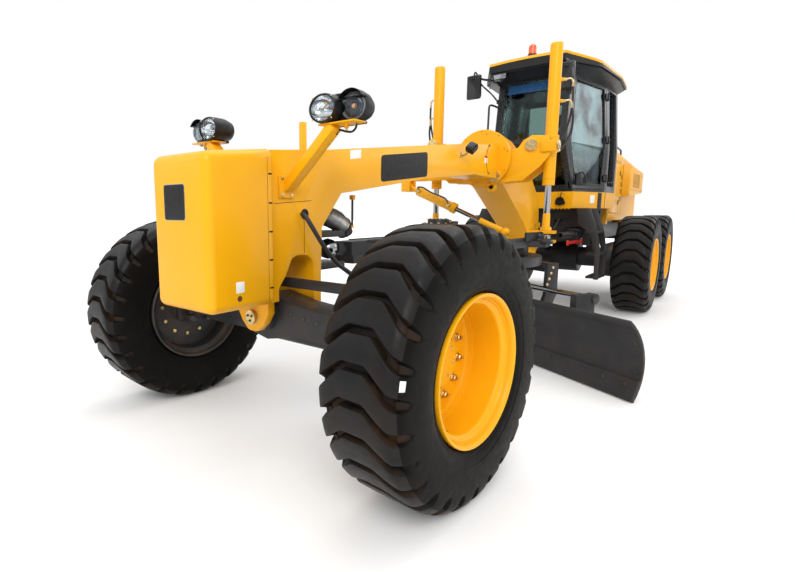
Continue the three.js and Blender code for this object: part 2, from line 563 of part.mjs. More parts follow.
// tandem cases
for (const [nm, s] of [['left', 1], ['right', -1]]) {
  const Y = (a, b) => [Math.min(s * a, s * b), Math.max(s * a, s * b)];
  const [a, b] = Y(614, 800);
  const half = TANDEM / 2;
  const outline = [];
  const ends = [[RX - half, 1], [RX + half, -1]];
  for (let i = 0; i <= 12; i++) { const t = Math.PI / 2 + (Math.PI * i) / 12; outline.push([RX - half + 200 * Math.cos(t), AXLE_Z + 200 * Math.sin(t)]); }
  for (let i = 0; i <= 12; i++) { const t = -Math.PI / 2 + (Math.PI * i) / 12; outline.push([RX + half + 200 * Math.cos(t), AXLE_Z + 200 * Math.sin(t)]); }
  outline.push([RX + 260, AXLE_Z + 240], [RX - 260, AXLE_Z + 240]);
  const hub = (x) => rod([x, s * 790, AXLE_Z], [x, s * (TRACK / 2 - 0.5), AXLE_Z], 130, 24);
  put(`tandem_${nm}`, add(sideShape(outline, a, b), hub(RX - half), hub(RX + half)), CHARCOAL());
  wheel(`middle_${nm}`, RX + half, s, grader);
  wheel(`rear_${nm}`, RX - half, s, grader);
}

// ---------------------------------------------------------------- hood and engine
const HOOD_HW = 600;
const hoodOut = [[-6060, 1225], [-6060, 2262], [-6500, 2245], [-8250, 2130], [-8420, 2050], [-8420, 1225]];
const hoodIn = [[-6085, 1200], [-6085, 2230], [-6500, 2215], [-8235, 2100], [-8390, 2030], [-8390, 1200]];
const pod = (s) => sideShape([[-7100, 1600], [-7100, 2100], [-8420, 2040], [-8420, 1690]], s > 0 ? 595 : -700, s > 0 ? 700 : -595);
let hood = add(
  cut(sideShape(hoodOut, -HOOD_HW, HOOD_HW), sideShape(hoodIn, -HOOD_HW + 25, HOOD_HW - 25)),
  pod(1), pod(-1),
  // ledges that rest on the frame rails
  box(-8400, -8200, -590, 590, 1171, 1225), box(-6200, -6062, -590, 590, 1171, 1225),
  // exhaust pipe and pre-cleaner
  rod([-6850, 170, 2200], [-6850, 170, 2700], 55, 16), 
  rod([-6950, -230, 2200], [-6950, -230, 2480], 60, 16), rod([-6950, -230, 2470], [-6950, -230, 2660], 130, 20),
);
const DOOR = { x0: -6850, x1: -6150, z0: 1330, z1: 2100 };
hood = cut(hood, box(DOOR.x0, DOOR.x1, 560, 620, DOOR.z0, DOOR.z1), box(DOOR.x0, DOOR.x1, -620, -560, DOOR.z0, DOOR.z1));
put('hood', hood, YELLOW());
for (const [nm, s] of [['left', 1], ['right', -1]]) {
  const [a, b] = s > 0 ? [576, 601] : [-601, -576];
  put(`hood_door_${nm}`, box(DOOR.x0 + 6, DOOR.x1 - 6, a, b, DOOR.z0 + 6, DOOR.z1 - 6), YELLOW());
}
put('engine_block', add(
  box(-7650, -6500, -330, 330, 1250, 1950),
  box(-7650, -6500, -395, 395, 1171, 1300),
), IRON());

// ---------------------------------------------------------------- cab
// stations: front corner, door rear pillar, rear corner, given at four heights
const ZF = 1440, ZS = 1625, ZW = 2200, ZR = 3060;
const CAB_FRONT = { [ZF]: -4800, [ZS]: -4800, [ZW]: -4270, [ZR]: -4400 };
const plan = (inset, z) => {
  const xf = CAB_FRONT[z] - inset;
  const top = z === ZR ? 1 : 0;
  const yf = 430 - inset, yb = (top ? 600 : 665) - inset, yc = (top ? 625 : 685) - inset;
  const xb = -5480, xc = -6000 + inset;
  return [[xf, yf], [xb, yb], [xc, yc], [xc, -yc], [xb, -yb], [xf, -yf]];
};
// loft through the stations
const loft = (inset, zs, zmap = (z) => z) => {
  const rings = zs.map((z) => plan(inset, z).map(([x, y]) => [x, y, zmap(z)]));
  const n = 6, pos = [], idx = [];
  for (const r of rings) for (const p of r) pos.push(...p);
  for (let k = 0; k < rings.length - 1; k++) for (let i = 0; i < n; i++) {
    const a = k * n + i, b = k * n + ((i + 1) % n), c = a + n, d = b + n;
    idx.push(a, b, d, a, d, c);
  }
  for (let i = 1; i < n - 1; i++) { idx.push(0, i + 1, i); const o = (rings.length - 1) * n; idx.push(o, o + i, o + i + 1); }
  const g = new THREE.BufferGeometry();
  g.setAttribute('position', new THREE.BufferAttribute(new Float32Array(pos), 3));
  g.setIndex(idx);
  return S(g);
};
const cabOuter = loft(0, [ZF, ZS, ZW, ZR]);
const cabInner = loft(70, [ZF, ZS, ZW, ZR], (z) => (z === ZF ? 1400 : z === ZR ? 3020 : z));
// window cuts
const frontWin = add(
  frontShape([[-355, 2250], [-365, 2960], [365, 2960], [355, 2250]], -4700, -4100),
  frontShape([[-350, 1700], [-355, 2165], [355, 2165], [350, 1700]], -4950, -4100),
);
const rearWin = frontShape([[-560, 1750], [-560, 2940], [560, 2940], [560, 1750]], -6100, -5900);
const sideWin = add(
  sideShape([[-5560, 1700], [-5560, 2960], [-5920, 2960], [-5920, 1700]], 500, 800),
  sideShape([[-5560, 1700], [-5560, 2960], [-5920, 2960], [-5920, 1700]], -800, -500),
);
// door openings between the front pillar and the door's rear pillar
const doorOutline = (g) => [[-4760 - g, 1650 + g], [-5440 + g, 1650 + g], [-5440 + g, 3010 - g], [-4480 - g, 3010 - g], [-4370 - g, 2200]];
const doorCut = (s) => sideShape(doorOutline(0), s > 0 ? 380 : -800, s > 0 ? 800 : -380);
let cabFrame = cut(cabOuter, cabInner, frontWin, rearWin, sideWin, doorCut(1), doorCut(-1));
const mirrorArm = (s, mx, my, mz) => add(
  tube([[-4420, s * 440, 2980], [-4240, s * 470, 3000], [-4000, s * (my - 10), 3010], [mx + 5, s * my, 2960]], 12, 6, 10),
  tube([[-4380, s * 440, 2760], [-4200, s * 480, 2860], [-4000, s * (my - 10), 2985]], 9, 6, 8),
  rbox(mx - 27, mx + 27, s * my - 92, s * my + 92, mz - 145, mz + 145, 22, 1),
);
cabFrame = add(cabFrame, mirrorArm(1, -3900, 497, 2840), mirrorArm(-1, -3980, 600, 2900));
put('cab_frame', cabFrame, DARK());

// yellow skirt under the cab
const consoleSolid = add(
  sideShape([[-4895, 1560], [-4895, 1490], [-5000, 1490], [-5000, 1600], [-4930, 2080], [-4850, 2160], [-4790, 2110]], -70, 70),
  box(-5560, -5150, 270, 370, 1490, 2080), box(-5560, -5150, -370, -270, 1490, 2080),
);
put('cab_base', add(planShape(plan(0, ZF), 1400.2, ZF - GAP), planShape(plan(71, ZF), 1430, 1500), consoleSolid), YELLOW());

// roof: arched cap with a visor over the windscreen
const roofPlan = [[-4060, 440], [-4620, 700], [-5450, 770], [-6080, 720], [-6080, -720], [-5450, -770], [-4620, -700], [-4060, -440]];
const arch = frontShape([
  [-800, 3061], [-800, 3075], [-760, 3100], [-650, 3132], [-430, 3160], [-200, 3172], [0, 3175], [200, 3172], [430, 3160], [650, 3132], [760, 3100], [800, 3075], [800, 3061],
], -6200, -4000);
const BEACON = [-4175, 30];
put('cab_roof', add(
  planShape(roofPlan, 3060 + GAP, 3300).intersect(arch),
  rod([...BEACON, 3160], [...BEACON, 3215], 52, 20), rod([...BEACON, 3210], [...BEACON, 3290], 44, 20), ball([...BEACON, 3290], 44, 10),
), YELLOW());

// glass: thin sheets just inside the frame
const inside = (inset) => loft(inset, [ZF, ZS, ZW, ZR], (z) => (z === ZF ? 1400 : z === ZR ? 3020 : z));
const liner = cut(inside(70.5), inside(76.5));
put('glass_front', liner.intersect(box(-4950, -4200, -352, 352, 1665, 3000)), GLASS());
put('glass_rear', liner.intersect(box(-6000, -5510, -700, 700, 1665, 2990)), GLASS());

// doors: a frame in the plane of the cab side, with its pane
const doorSlab = (s, inset, g) => {
  // wall of the cab cut out along the door outline
  const wall = cut(loft(0, [ZF, ZS, ZW, ZR]), loft(inset, [ZF, ZS, ZW, ZR], (z) => (z === ZF ? 1400 : z === ZR ? 3100 : z)));
  return wall.intersect(sideShape(doorOutline(g), s > 0 ? 300 : -800, s > 0 ? 800 : -300));
};
const paneOutline = [[-4800, 1705], [-5385, 1705], [-5385, 2955], [-4530, 2955], [-4430, 2200]];
for (const [nm, s] of [['left', 1], ['right', -1]]) {
  const win = sideShape(paneOutline, s > 0 ? 300 : -800, s > 0 ? 800 : -300);
  const slab = doorSlab(s, 40, 6).intersect(box(-5600, -4300, s > 0 ? 400 : -800, s > 0 ? 800 : -400, 1500, 3100));
  put(`cab_door_${nm}`, cut(slab, win), DARK());
  const paneWall = cut(loft(15, [ZF, ZS, ZW, ZR]), loft(21, [ZF, ZS, ZW, ZR], (z) => (z === ZF ? 1400 : z === ZR ? 3100 : z)));
  const inner = sideShape(paneOutline.map(([x, z]) => { const cx = -4930, cz = 2330; const k = 0.9985; return [cx + (x - cx) * k, cz + (z - cz) * k]; }), s > 0 ? 300 : -800, s > 0 ? 800 : -300);
  put(`door_glass_${nm}`, paneWall.intersect(inner).intersect(box(-5600, -4300, s > 0 ? 380 : -800, s > 0 ? 800 : -380, 1500, 3100)), GLASS());
}

// seat, console and steering wheel
put('seat', add(
  rbox(-5640, -5160, -230, 230, 1860, 1980, 40),
  rbox(-5730, -5610, -220, 220, 1900, 2560, 50),
  rbox(-5720, -5630, -130, 130, 2540, 2760, 40),
  box(-5560, -5260, -160, 160, 1500.4, 1870),
), SEAT());
const WH = [-4830, 0, 2230];
const wdir = new THREE.Vector3(-0.5, 0, 0.866);
const wg = new THREE.Group();
wg.position.set(...WH);
wg.quaternion.setFromUnitVectors(new THREE.Vector3(0, 0, 1), wdir.clone().normalize());
grader.add(wg);
const torus = new THREE.TorusGeometry(190, 15, 6, 20);
put('steering_wheel', add(S(torus), box(-190, 190, -16, 16, -8, 8), box(-16, 16, -190, 0, -8, 8), rod([0, 0, -44], [0, 0, 14], 42, 16)), DARK(), wg);

export default grader;
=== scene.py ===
import bpy, bmesh, json, math, random
from mathutils import Vector, Matrix

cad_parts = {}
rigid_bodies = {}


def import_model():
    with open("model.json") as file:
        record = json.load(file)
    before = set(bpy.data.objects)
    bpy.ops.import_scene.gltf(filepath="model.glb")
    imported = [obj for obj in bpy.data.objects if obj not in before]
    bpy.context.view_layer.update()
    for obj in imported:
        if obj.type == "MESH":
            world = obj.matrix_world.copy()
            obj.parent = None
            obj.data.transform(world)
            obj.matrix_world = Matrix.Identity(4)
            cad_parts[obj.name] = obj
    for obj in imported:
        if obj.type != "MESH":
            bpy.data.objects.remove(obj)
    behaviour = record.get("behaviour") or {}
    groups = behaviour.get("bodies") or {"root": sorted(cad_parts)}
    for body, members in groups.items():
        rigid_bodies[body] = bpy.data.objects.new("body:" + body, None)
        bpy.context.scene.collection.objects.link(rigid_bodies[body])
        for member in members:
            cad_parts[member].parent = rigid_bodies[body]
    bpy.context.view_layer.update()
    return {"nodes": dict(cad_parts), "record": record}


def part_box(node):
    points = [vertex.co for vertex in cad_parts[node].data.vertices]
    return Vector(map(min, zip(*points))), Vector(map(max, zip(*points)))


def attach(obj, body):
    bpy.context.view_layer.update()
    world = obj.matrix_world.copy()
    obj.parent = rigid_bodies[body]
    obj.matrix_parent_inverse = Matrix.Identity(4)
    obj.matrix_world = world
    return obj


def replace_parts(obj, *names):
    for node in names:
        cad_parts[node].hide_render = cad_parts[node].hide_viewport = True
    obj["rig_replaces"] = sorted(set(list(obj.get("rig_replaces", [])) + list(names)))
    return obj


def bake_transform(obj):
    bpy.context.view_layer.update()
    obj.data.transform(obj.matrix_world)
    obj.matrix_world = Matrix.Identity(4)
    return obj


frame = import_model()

N = frame["nodes"]
rad = math.radians
V = Vector
random.seed(7)

# ------------------------------------------------------------------ camera, light, stage
scene = bpy.context.scene
cam_data = bpy.data.cameras.new("camera")
cam = bpy.data.objects.new("camera", cam_data)
scene.collection.objects.link(cam)
scene.camera = cam
cam_data.sensor_width = 36.0
cam_data.lens = 21.88
cam_data.shift_x = 0.0841
cam_data.shift_y = -0.0070
cam_data.clip_start, cam_data.clip_end = 0.05, 200
cam.location = (2.0452, 2.1011, 1.3555)
_yaw, _pitch = rad(219.987), rad(-8.103)
_fw = V((math.cos(_yaw) * math.cos(_pitch), math.sin(_yaw) * math.cos(_pitch), math.sin(_pitch)))
cam.rotation_mode = "QUATERNION"
cam.rotation_quaternion = _fw.to_track_quat("-Z", "Y")

scene.view_settings.view_transform = "Standard"

world = bpy.data.worlds.new("studio")
scene.world = world
world.use_nodes = True
_wt = world.node_tree
bg = _wt.nodes["Background"]
bg.inputs[0].default_value = (1.0, 1.0, 1.0, 1)
_geo = _wt.nodes.new("ShaderNodeTexCoord")
_sep = _wt.nodes.new("ShaderNodeSeparateXYZ")
_wt.links.new(_geo.outputs["Generated"], _sep.inputs[0])
_up = _wt.nodes.new("ShaderNodeMapRange")
_up.inputs["From Min"].default_value = -0.35
_up.inputs["From Max"].default_value = 0.75
_up.inputs["To Min"].default_value = 0.42
_up.inputs["To Max"].default_value = 1.12
_wt.links.new(_sep.outputs["Z"], _up.inputs["Value"])
_lp = _wt.nodes.new("ShaderNodeLightPath")
_pick = _wt.nodes.new("ShaderNodeMix")
_pick.data_type = "FLOAT"
_wt.links.new(_lp.outputs["Is Camera Ray"], _pick.inputs["Factor"])
_wt.links.new(_up.outputs["Result"], _pick.inputs["A"])
_pick.inputs["B"].default_value = 1.0
_wt.links.new(_pick.outputs["Result"], bg.inputs[1])


def area(name, loc, target, size, power, color=(1, 1, 1)):
    d = bpy.data.lights.new(name, "AREA")
    d.shape = "RECTANGLE"
    d.size, d.size_y = size
    d.energy = power
    d.color = color
    o = bpy.data.objects.new(name, d)
    scene.collection.objects.link(o)
    o.location = loc
    o.rotation_mode = "QUATERNION"
    o.rotation_quaternion = (V(target) - V(loc)).to_track_quat("-Z", "Y")
    return o


area("key", (6.5, 5.5, 7.5), (-1.5, 0.3, 1.0), (6, 5), 620, (1.0, 0.98, 0.95))
area("fill", (6.0, -6.0, 4.5), (-1.5, 0, 1.0), (6, 4), 60, (0.95, 0.97, 1.0))
area("top", (-3.5, 0, 9.5), (-3.5, 0, 1.0), (10, 6), 260)
area("back", (-12.5, 5.5, 6.0), (-5.0, 0, 1.5), (6, 5), 150)


def nodes_of(m):
    nt = m.node_tree
    return nt, nt.nodes, nt.links, nt.nodes["Principled BSDF"]


# ------------------------------------------------------------------ materials
def new_mat(name):
    m = bpy.data.materials.new(name)
    m.use_nodes = True
    return m


def add_node(nt, kind, **kw):
    n = nt.nodes.new(kind)
    for k, v in kw.items():
        if k in n.inputs.keys():
            n.inputs[k].default_value = v
        else:
            setattr(n, k, v)
    return n


def noise(nt, coord, scale, detail=3.0, rough=0.5):
    n = nt.nodes.new("ShaderNodeTexNoise")
    n.inputs["Scale"].default_value = scale
    n.inputs["Detail"].default_value = detail
    n.inputs["Roughness"].default_value = rough
    nt.links.new(coord, n.inputs["Vector"])
    return n.outputs["Fac"]


def ramp(nt, fac, lo, hi, a=0.0, b=1.0):
    n = nt.nodes.new("ShaderNodeMapRange")
    n.inputs["From Min"].default_value = lo
    n.inputs["From Max"].default_value = hi
    n.inputs["To Min"].default_value = a
    n.inputs["To Max"].default_value = b
    nt.links.new(fac, n.inputs["Value"])
    return n.outputs["Result"]


def mul(nt, a, b):
    n = nt.nodes.new("ShaderNodeMath")
    n.operation = "MULTIPLY"
    nt.links.new(a, n.inputs[0])
    if isinstance(b, float):
        n.inputs[1].default_value = b
    else:
        nt.links.new(b, n.inputs[1])
    return n.outputs[0]


def mix(nt, fac, a, b):
    n = nt.nodes.new("ShaderNodeMix")
    n.data_type = "RGBA"
    if isinstance(fac, float):
        n.inputs["Factor"].default_value = fac
    else:
        nt.links.new(fac, n.inputs["Factor"])
    for i, c in ((6, a), (7, b)):
        if isinstance(c, tuple):
            n.inputs[i].default_value = (*c, 1)
        else:
            nt.links.new(c, n.inputs[i])
    return n.outputs[2]


def surface(name, base, rough=0.4, metal=0.0, coat=0.0, vary=0.08, vscale=2.5, grain=220.0, bump=0.02,
            dust=0.0, dust_col=(0.16, 0.085, 0.035), dust_top=1.2, edge=0.004, wear=None, spec=0.5):
    """Painted, cast or moulded surface: slight colour drift, fine grain, dust that lies low, rounded edges."""
    m = new_mat(name)
    nt, ns, ln, b = nodes_of(m)
    tc = nt.nodes.new("ShaderNodeTexCoord")
    co = tc.outputs["Object"]
    big = noise(nt, co, vscale, 3)
    dark = tuple(c * (1 - vary * 1.6) for c in base)
    light = tuple(min(1.0, c * (1 + vary)) for c in base)
    col = mix(nt, ramp(nt, big, 0.3, 0.7), dark, light)
    if wear:
        geo = nt.nodes.new("ShaderNodeNewGeometry")
        w = mul(nt, ramp(nt, geo.outputs["Pointiness"], 0.53, 0.60), ramp(nt, noise(nt, co, 14, 4), 0.5, 0.62))
        col = mix(nt, w, col, wear)
    if dust > 0:
        sep = nt.nodes.new("ShaderNodeSeparateXYZ")
        ln.new(co, sep.inputs[0])
        low = ramp(nt, sep.outputs["Z"], dust_top, 0.1)
        blot = ramp(nt, noise(nt, co, 5.5, 6, 0.65), 0.42, 0.68)
        d = mul(nt, mul(nt, low, blot), float(dust))
        col = mix(nt, d, col, dust_col)
    ln.new(col, b.inputs["Base Color"])
    fine = noise(nt, co, 30, 4)
    ln.new(ramp(nt, fine, 0.3, 0.7, max(0.02, rough - 0.05), min(1.0, rough + 0.07)), b.inputs["Roughness"])
    b.inputs["Metallic"].default_value = metal
    b.inputs["Specular IOR Level"].default_value = spec
    if coat > 0:
        b.inputs["Coat Weight"].default_value = coat
        b.inputs["Coat Roughness"].default_value = 0.08
    bp = nt.nodes.new("ShaderNodeBump")
    bp.inputs["Strength"].default_value = 0.35
    bp.inputs["Distance"].default_value = bump * 0.01
    ln.new(noise(nt, co, grain, 2), bp.inputs["Height"])
    if edge > 0:
        bv = nt.nodes.new("ShaderNodeBevel")
        bv.samples = 3
        bv.inputs["Radius"].default_value = edge
        ln.new(bv.outputs["Normal"], bp.inputs["Normal"])
    ln.new(bp.outputs["Normal"], b.inputs["Normal"])
    return m


YEL = (0.83, 0.385, 0.0035)
yellow = surface("yellow_paint", YEL, 0.33, coat=0.06, vary=0.03, dust=0.12, dust_top=1.3, spec=0.24)
yellow_fine = surface("yellow_trim", YEL, 0.35, coat=0.05, vary=0.04, edge=0.0, spec=0.24)
charcoal = surface("charcoal_paint", (0.026, 0.026, 0.028), 0.38, vary=0.14, dust=0.16, dust_top=1.5, spec=0.28)
charcoal_fine = surface("charcoal_trim", (0.023, 0.023, 0.025), 0.4, vary=0.1, dust=0.12, edge=0.0, spec=0.28)
blade_mat = surface("blade_paint", (0.024, 0.024, 0.026), 0.40, vary=0.16, vscale=4, dust=0.10, dust_top=0.8, grain=120, bump=0.04, spec=0.28)
cabgrey = surface("cab_paint", (0.018, 0.019, 0.021), 0.24, vary=0.1, coat=0.10, spec=0.35)
black_plastic = surface("black_plastic", (0.010, 0.010, 0.011), 0.40, vary=0.15, grain=500, bump=0.03, edge=0.002, spec=0.28)
hose_mat = surface("hose_rubber", (0.014, 0.014, 0.015), 0.5, vary=0.2, grain=350, bump=0.04, edge=0.0)
gloss_black = surface("gloss_black", (0.007, 0.007, 0.008), 0.22, vary=0.1, edge=0.002, spec=0.25)
zinc = surface("zinc_fitting", (0.62, 0.5, 0.27), 0.3, metal=1.0, vary=0.25, vscale=30, edge=0.0)
brass = surface("brass_nut", (0.62, 0.47, 0.22), 0.32, metal=1.0, vary=0.2, vscale=40, edge=0.0)
# painted reflection: the chrome's base colour is darkened to grey to stand in for the dark ground the rods reflect
chrome = surface("chrome_rod", (0.34, 0.345, 0.35), 0.13, metal=1.0, vary=0.02, bump=0.005, edge=0.0)
steel = surface("machined_steel", (0.42, 0.41, 0.4), 0.32, metal=1.0, vary=0.15, vscale=12, edge=0.0)
conduit_mat = surface("conduit_steel", (0.34, 0.34, 0.33), 0.34, metal=0.8, vary=0.2, vscale=18, edge=0.0)
iron = surface("engine_iron", (0.06, 0.06, 0.062), 0.55, metal=0.3, vary=0.2, vscale=6)
white_label = surface("blank_label", (0.82, 0.82, 0.8), 0.4, vary=0.03, edge=0.0)
red_paint = surface("red_link", (0.55, 0.02, 0.012), 0.35, vary=0.1, edge=0.002)
blue_strip = surface("sun_strip", (0.02, 0.09, 0.24), 0.25, vary=0.05, edge=0.0)
# painted shade: yellow paint darkened as in shade, laid into vents, holes, seams, panel gaps, under raised edges and on
# small parts that sit in shade
painted_shade_brown = surface("painted_shade_brown", (0.10, 0.038, 0.006), 0.6, vary=0.3, vscale=20, edge=0.0)
seat_mat = surface("seat_fabric", (0.02, 0.021, 0.023), 0.85, vary=0.25, vscale=30, grain=700, bump=0.2, edge=0.006)
lug_mat = surface("tyre_lug", (0.0085, 0.0086, 0.0094), 0.40, vary=0.22, vscale=5, grain=160, bump=0.10, dust=0.16,
                  dust_col=(0.07, 0.035, 0.014), dust_top=1.6, edge=0.006, spec=0.15)
# painted shade: the sidewall and shoulder rubber is the lug rubber made darker, standing in for the shade on the tyre's
# sides
side_painted_shade_mat = surface("tyre_side_painted_shade", (0.0052, 0.0050, 0.0047), 0.46, vary=0.2, vscale=4, grain=120, bump=0.08, dust=0.05,
                   dust_col=(0.05, 0.03, 0.015), dust_top=1.6, edge=0.0, spec=0.07)
groove_mat = surface("tyre_groove", (0.0060, 0.0058, 0.0056), 0.6, vary=0.3, vscale=9, dust=0.35, grain=90, bump=0.15,
                     dust_col=(0.10, 0.045, 0.014), dust_top=2.2, edge=0.0, spec=0.15)
# painted shade: the rim's inner side lies in shade and gets a dark charcoal in place of the yellow paint; the brown
# dust on it is dirt
rim_inner_painted_shade = surface("rim_inside_painted_shade", (0.02, 0.02, 0.021), 0.45, vary=0.2, dust=0.4, edge=0.0)
floor_mat = surface("floor", (0.86, 0.86, 0.86), 0.75, vary=0.01, edge=0.0, spec=0.1)
_nt, _ns, _ln, _b = nodes_of(floor_mat)
_tc = _nt.nodes.new("ShaderNodeTexCoord")
_vm = _nt.nodes.new("ShaderNodeVectorMath")
_vm.operation = "LENGTH"
_ln.new(_tc.outputs["Object"], _vm.inputs[0])
_b.inputs["Emission Color"].default_value = (1, 1, 1, 1)
_ln.new(ramp(_nt, _vm.outputs["Value"], 5.0, 22.0, 0.02, 0.60), _b.inputs["Emission Strength"])


def glass(name, tint, gloss=0.05, blend=0.25):
    m = new_mat(name)
    nt = m.node_tree
    nt.nodes.remove(nt.nodes["Principled BSDF"])
    out = nt.nodes["Material Output"]
    tr = add_node(nt, "ShaderNodeBsdfTransparent", Color=(*tint, 1))
    gl = add_node(nt, "ShaderNodeBsdfGlossy", Color=(0.9, 0.95, 1.0, 1), Roughness=gloss)
    lw = add_node(nt, "ShaderNodeLayerWeight", Blend=blend)
    tc = nt.nodes.new("ShaderNodeTexCoord")
    sm = ramp(nt, noise(nt, tc.outputs["Object"], 3.0, 3), 0.35, 0.75, 0.75, 1.15)
    fac = mul(nt, lw.outputs["Fresnel"], sm)
    mx = nt.nodes.new("ShaderNodeMixShader")
    nt.links.new(fac, mx.inputs[0])
    nt.links.new(tr.outputs[0], mx.inputs[1])
    nt.links.new(gl.outputs[0], mx.inputs[2])
    nt.links.new(mx.outputs[0], out.inputs[0])
    return m


window = glass("window_glass", (0.60, 0.69, 0.665), 0.02, 0.26)
lens_mat = glass("lamp_lens", (0.86, 0.9, 0.92), 0.03, 0.3)
reflector = surface("lamp_reflector", (0.9, 0.9, 0.92), 0.12, metal=1.0, vary=0.1, vscale=40, edge=0.0)


def emitter(name, base, rough=0.2, coat=0.5):
    m = surface(name, base, rough, coat=coat, vary=0.05, edge=0.0)
    return m


dark_bolt = surface("dark_bolt", (0.05, 0.048, 0.045), 0.35, metal=0.6, vary=0.2, vscale=40, edge=0.0)
bulb_mat = surface("bulb_amber", (0.75, 0.32, 0.10), 0.25, vary=0.2, coat=0.4, edge=0.0)
orange = emitter("beacon_lens", (0.85, 0.10, 0.015))
amber = emitter("amber_lens", (0.9, 0.28, 0.02))
mirror_mat = surface("mirror_glass", (0.85, 0.87, 0.9), 0.02, metal=1.0, vary=0.01, bump=0.0, edge=0.0)


# ------------------------------------------------------------------ mesh building
def basis(d):
    d = V(d).normalized()
    h = V((0, 0, 1)) if abs(d.z) < 0.9 else V((1, 0, 0))
    u = h.cross(d).normalized()
    return u, d.cross(u), d


class Build:
    """Collects solid shapes into one mesh."""

    def __init__(s):
        s.v, s.f, s.m = [], [], []

    def put(s, verts, faces, mat=0):
        o = len(s.v)
        s.v += [tuple(p) for p in verts]
        s.f += [tuple(i + o for i in f) for f in faces]
        s.m += [mat] * len(faces)
        return s

    def cyl(s, p, q, r, n=24, r2=None, mat=0, bev=0.0):
        p, q = V(p), V(q)
        r2 = r if r2 is None else r2
        u, w, d = basis(q - p)
        L = (q - p).length
        prof = [(0, r, 1)] if bev <= 0 else [(0, r - bev, 1), (bev * 0.3, r - bev * 0.3, 1), (bev, r, 1)]
        tail = [(L, r2, 1)] if bev <= 0 else [(L - bev, r2, 1), (L - bev * 0.3, r2 - bev * 0.3, 1), (L, r2 - bev, 1)]
        prof = [x[:2] for x in prof + tail]
        return s.spin(p, d, [(a, b) for a, b in prof], n, mat, closed=False)

    def spin(s, origin, axis, prof, n=32, mat=0, closed=False, mats=None):
        """Turned body. prof is (along, radius); ends are capped unless closed."""
        u, w, d = basis(axis)
        o = V(origin)
        vs, fs, ms = [], [], []
        for a, r in prof:
            for i in range(n):
                t = 2 * math.pi * i / n
                vs.append(o + d * a + (u * math.cos(t) + w * math.sin(t)) * r)
        k = len(prof)
        rows = k if closed else k - 1
        for j in range(rows):
            j2 = (j + 1) % k
            for i in range(n):
                i2 = (i + 1) % n
                fs.append((j * n + i, j * n + i2, j2 * n + i2, j2 * n + i))
                ms.append(mats[j] if mats else mat)
        if not closed:
            fs.append(tuple(range(n))[::-1]); ms.append(mats[0] if mats else mat)
            fs.append(tuple((k - 1) * n + i for i in range(n))); ms.append(mats[-1] if mats else mat)
        off = len(s.v)
        s.v += [tuple(p) for p in vs]
        s.f += [tuple(i + off for i in f) for f in fs]
        s.m += ms
        return s

    def box(s, c, size, rot=None, mat=0, bev=0.0, seg=2):
        bm = bmesh.new()
        bmesh.ops.create_cube(bm, size=1.0)
        bmesh.ops.scale(bm, vec=V(size), verts=bm.verts)
        if bev > 0:
            bmesh.ops.bevel(bm, geom=bm.edges[:], offset=bev, segments=seg, profile=0.5, affect="EDGES", clamp_overlap=True)
        M = Matrix.Translation(V(c)) @ (rot.to_4x4() if rot is not None else Matrix.Identity(4))
        bmesh.ops.transform(bm, matrix=M, verts=bm.verts)
        return s.take(bm, mat)

    def take(s, bm, mat=0):
        bm.verts.ensure_lookup_table()
        bm.verts.index_update()
        s.put([v.co[:] for v in bm.verts], [[v.index for v in f.verts] for f in bm.faces], mat)
        bm.free()
        return s

    def prism(s, pts, a, b, axis="y", mat=0, bev=0.0, seg=2):
        """Outline extruded between a and b along an axis. pts are (x,z) for y, (x,y) for z, (y,z) for x."""
        def at(p, t):
            return {"y": (p[0], t, p[1]), "z": (p[0], p[1], t), "x": (t, p[0], p[1])}[axis]
        bm = bmesh.new()
        lo = [bm.verts.new(at(p, a)) for p in pts]
        hi = [bm.verts.new(at(p, b)) for p in pts]
        n = len(pts)
        bm.faces.new(lo); bm.faces.new(hi[::-1])
        for i in range(n):
            bm.faces.new((lo[i], hi[i], hi[(i + 1) % n], lo[(i + 1) % n]))
        bmesh.ops.recalc_face_normals(bm, faces=bm.faces)
        if bev > 0:
            bmesh.ops.bevel(bm, geom=bm.edges[:], offset=bev, segments=seg, profile=0.5, affect="EDGES", clamp_overlap=True)
        return s.take(bm, mat)

    def sweep(s, pts, r, n=10, mat=0, smooth=4, radii=None):
        pts = [V(p) for p in pts]
        if smooth > 1 and len(pts) > 2:
            fine = []
            for i in range(len(pts) - 1):
                p0 = pts[max(i - 1, 0)]; p1 = pts[i]; p2 = pts[i + 1]; p3 = pts[min(i + 2, len(pts) - 1)]
                for k in range(smooth):
                    t = k / smooth
                    fine.append(0.5 * ((2 * p1) + (p2 - p0) * t + (2 * p0 - 5 * p1 + 4 * p2 - p3) * t * t + (3 * p1 - p0 - 3 * p2 + p3) * t ** 3))
            fine.append(pts[-1])
            pts = fine
        k = len(pts)
        u = None
        vs, fs = [], []
        for i, p in enumerate(pts):
            d = (pts[min(i + 1, k - 1)] - pts[max(i - 1, 0)]).normalized()
            u = basis(d)[0] if u is None else (u - d * u.dot(d)).normalized()
            w = d.cross(u)
            rr = radii(i / (k - 1)) if radii else r
            for j in range(n):
                t = 2 * math.pi * j / n
                vs.append(p + (u * math.cos(t) + w * math.sin(t)) * rr)
        for i in range(k - 1):
            for j in range(n):
                j2 = (j + 1) % n
                fs.append((i * n + j, i * n + j2, (i + 1) * n + j2, (i + 1) * n + j))
        fs.append(tuple(range(n))[::-1])
        fs.append(tuple((k - 1) * n + j for j in range(n)))
        return s.put(vs, fs, mat)

    def bolt(s, p, d, r=0.011, h=0.008, mat=0, washer=True):
        p, d = V(p), V(d).normalized()
        if washer:
            s.spin(p, d, [(-0.001, r * 1.35), (0.0022, r * 1.35), (0.0028, r * 1.2)], 16, mat)
        s.spin(p, d, [(0.0, r), (h * 0.82, r), (h, r * 0.86)], 6, mat)
        return s

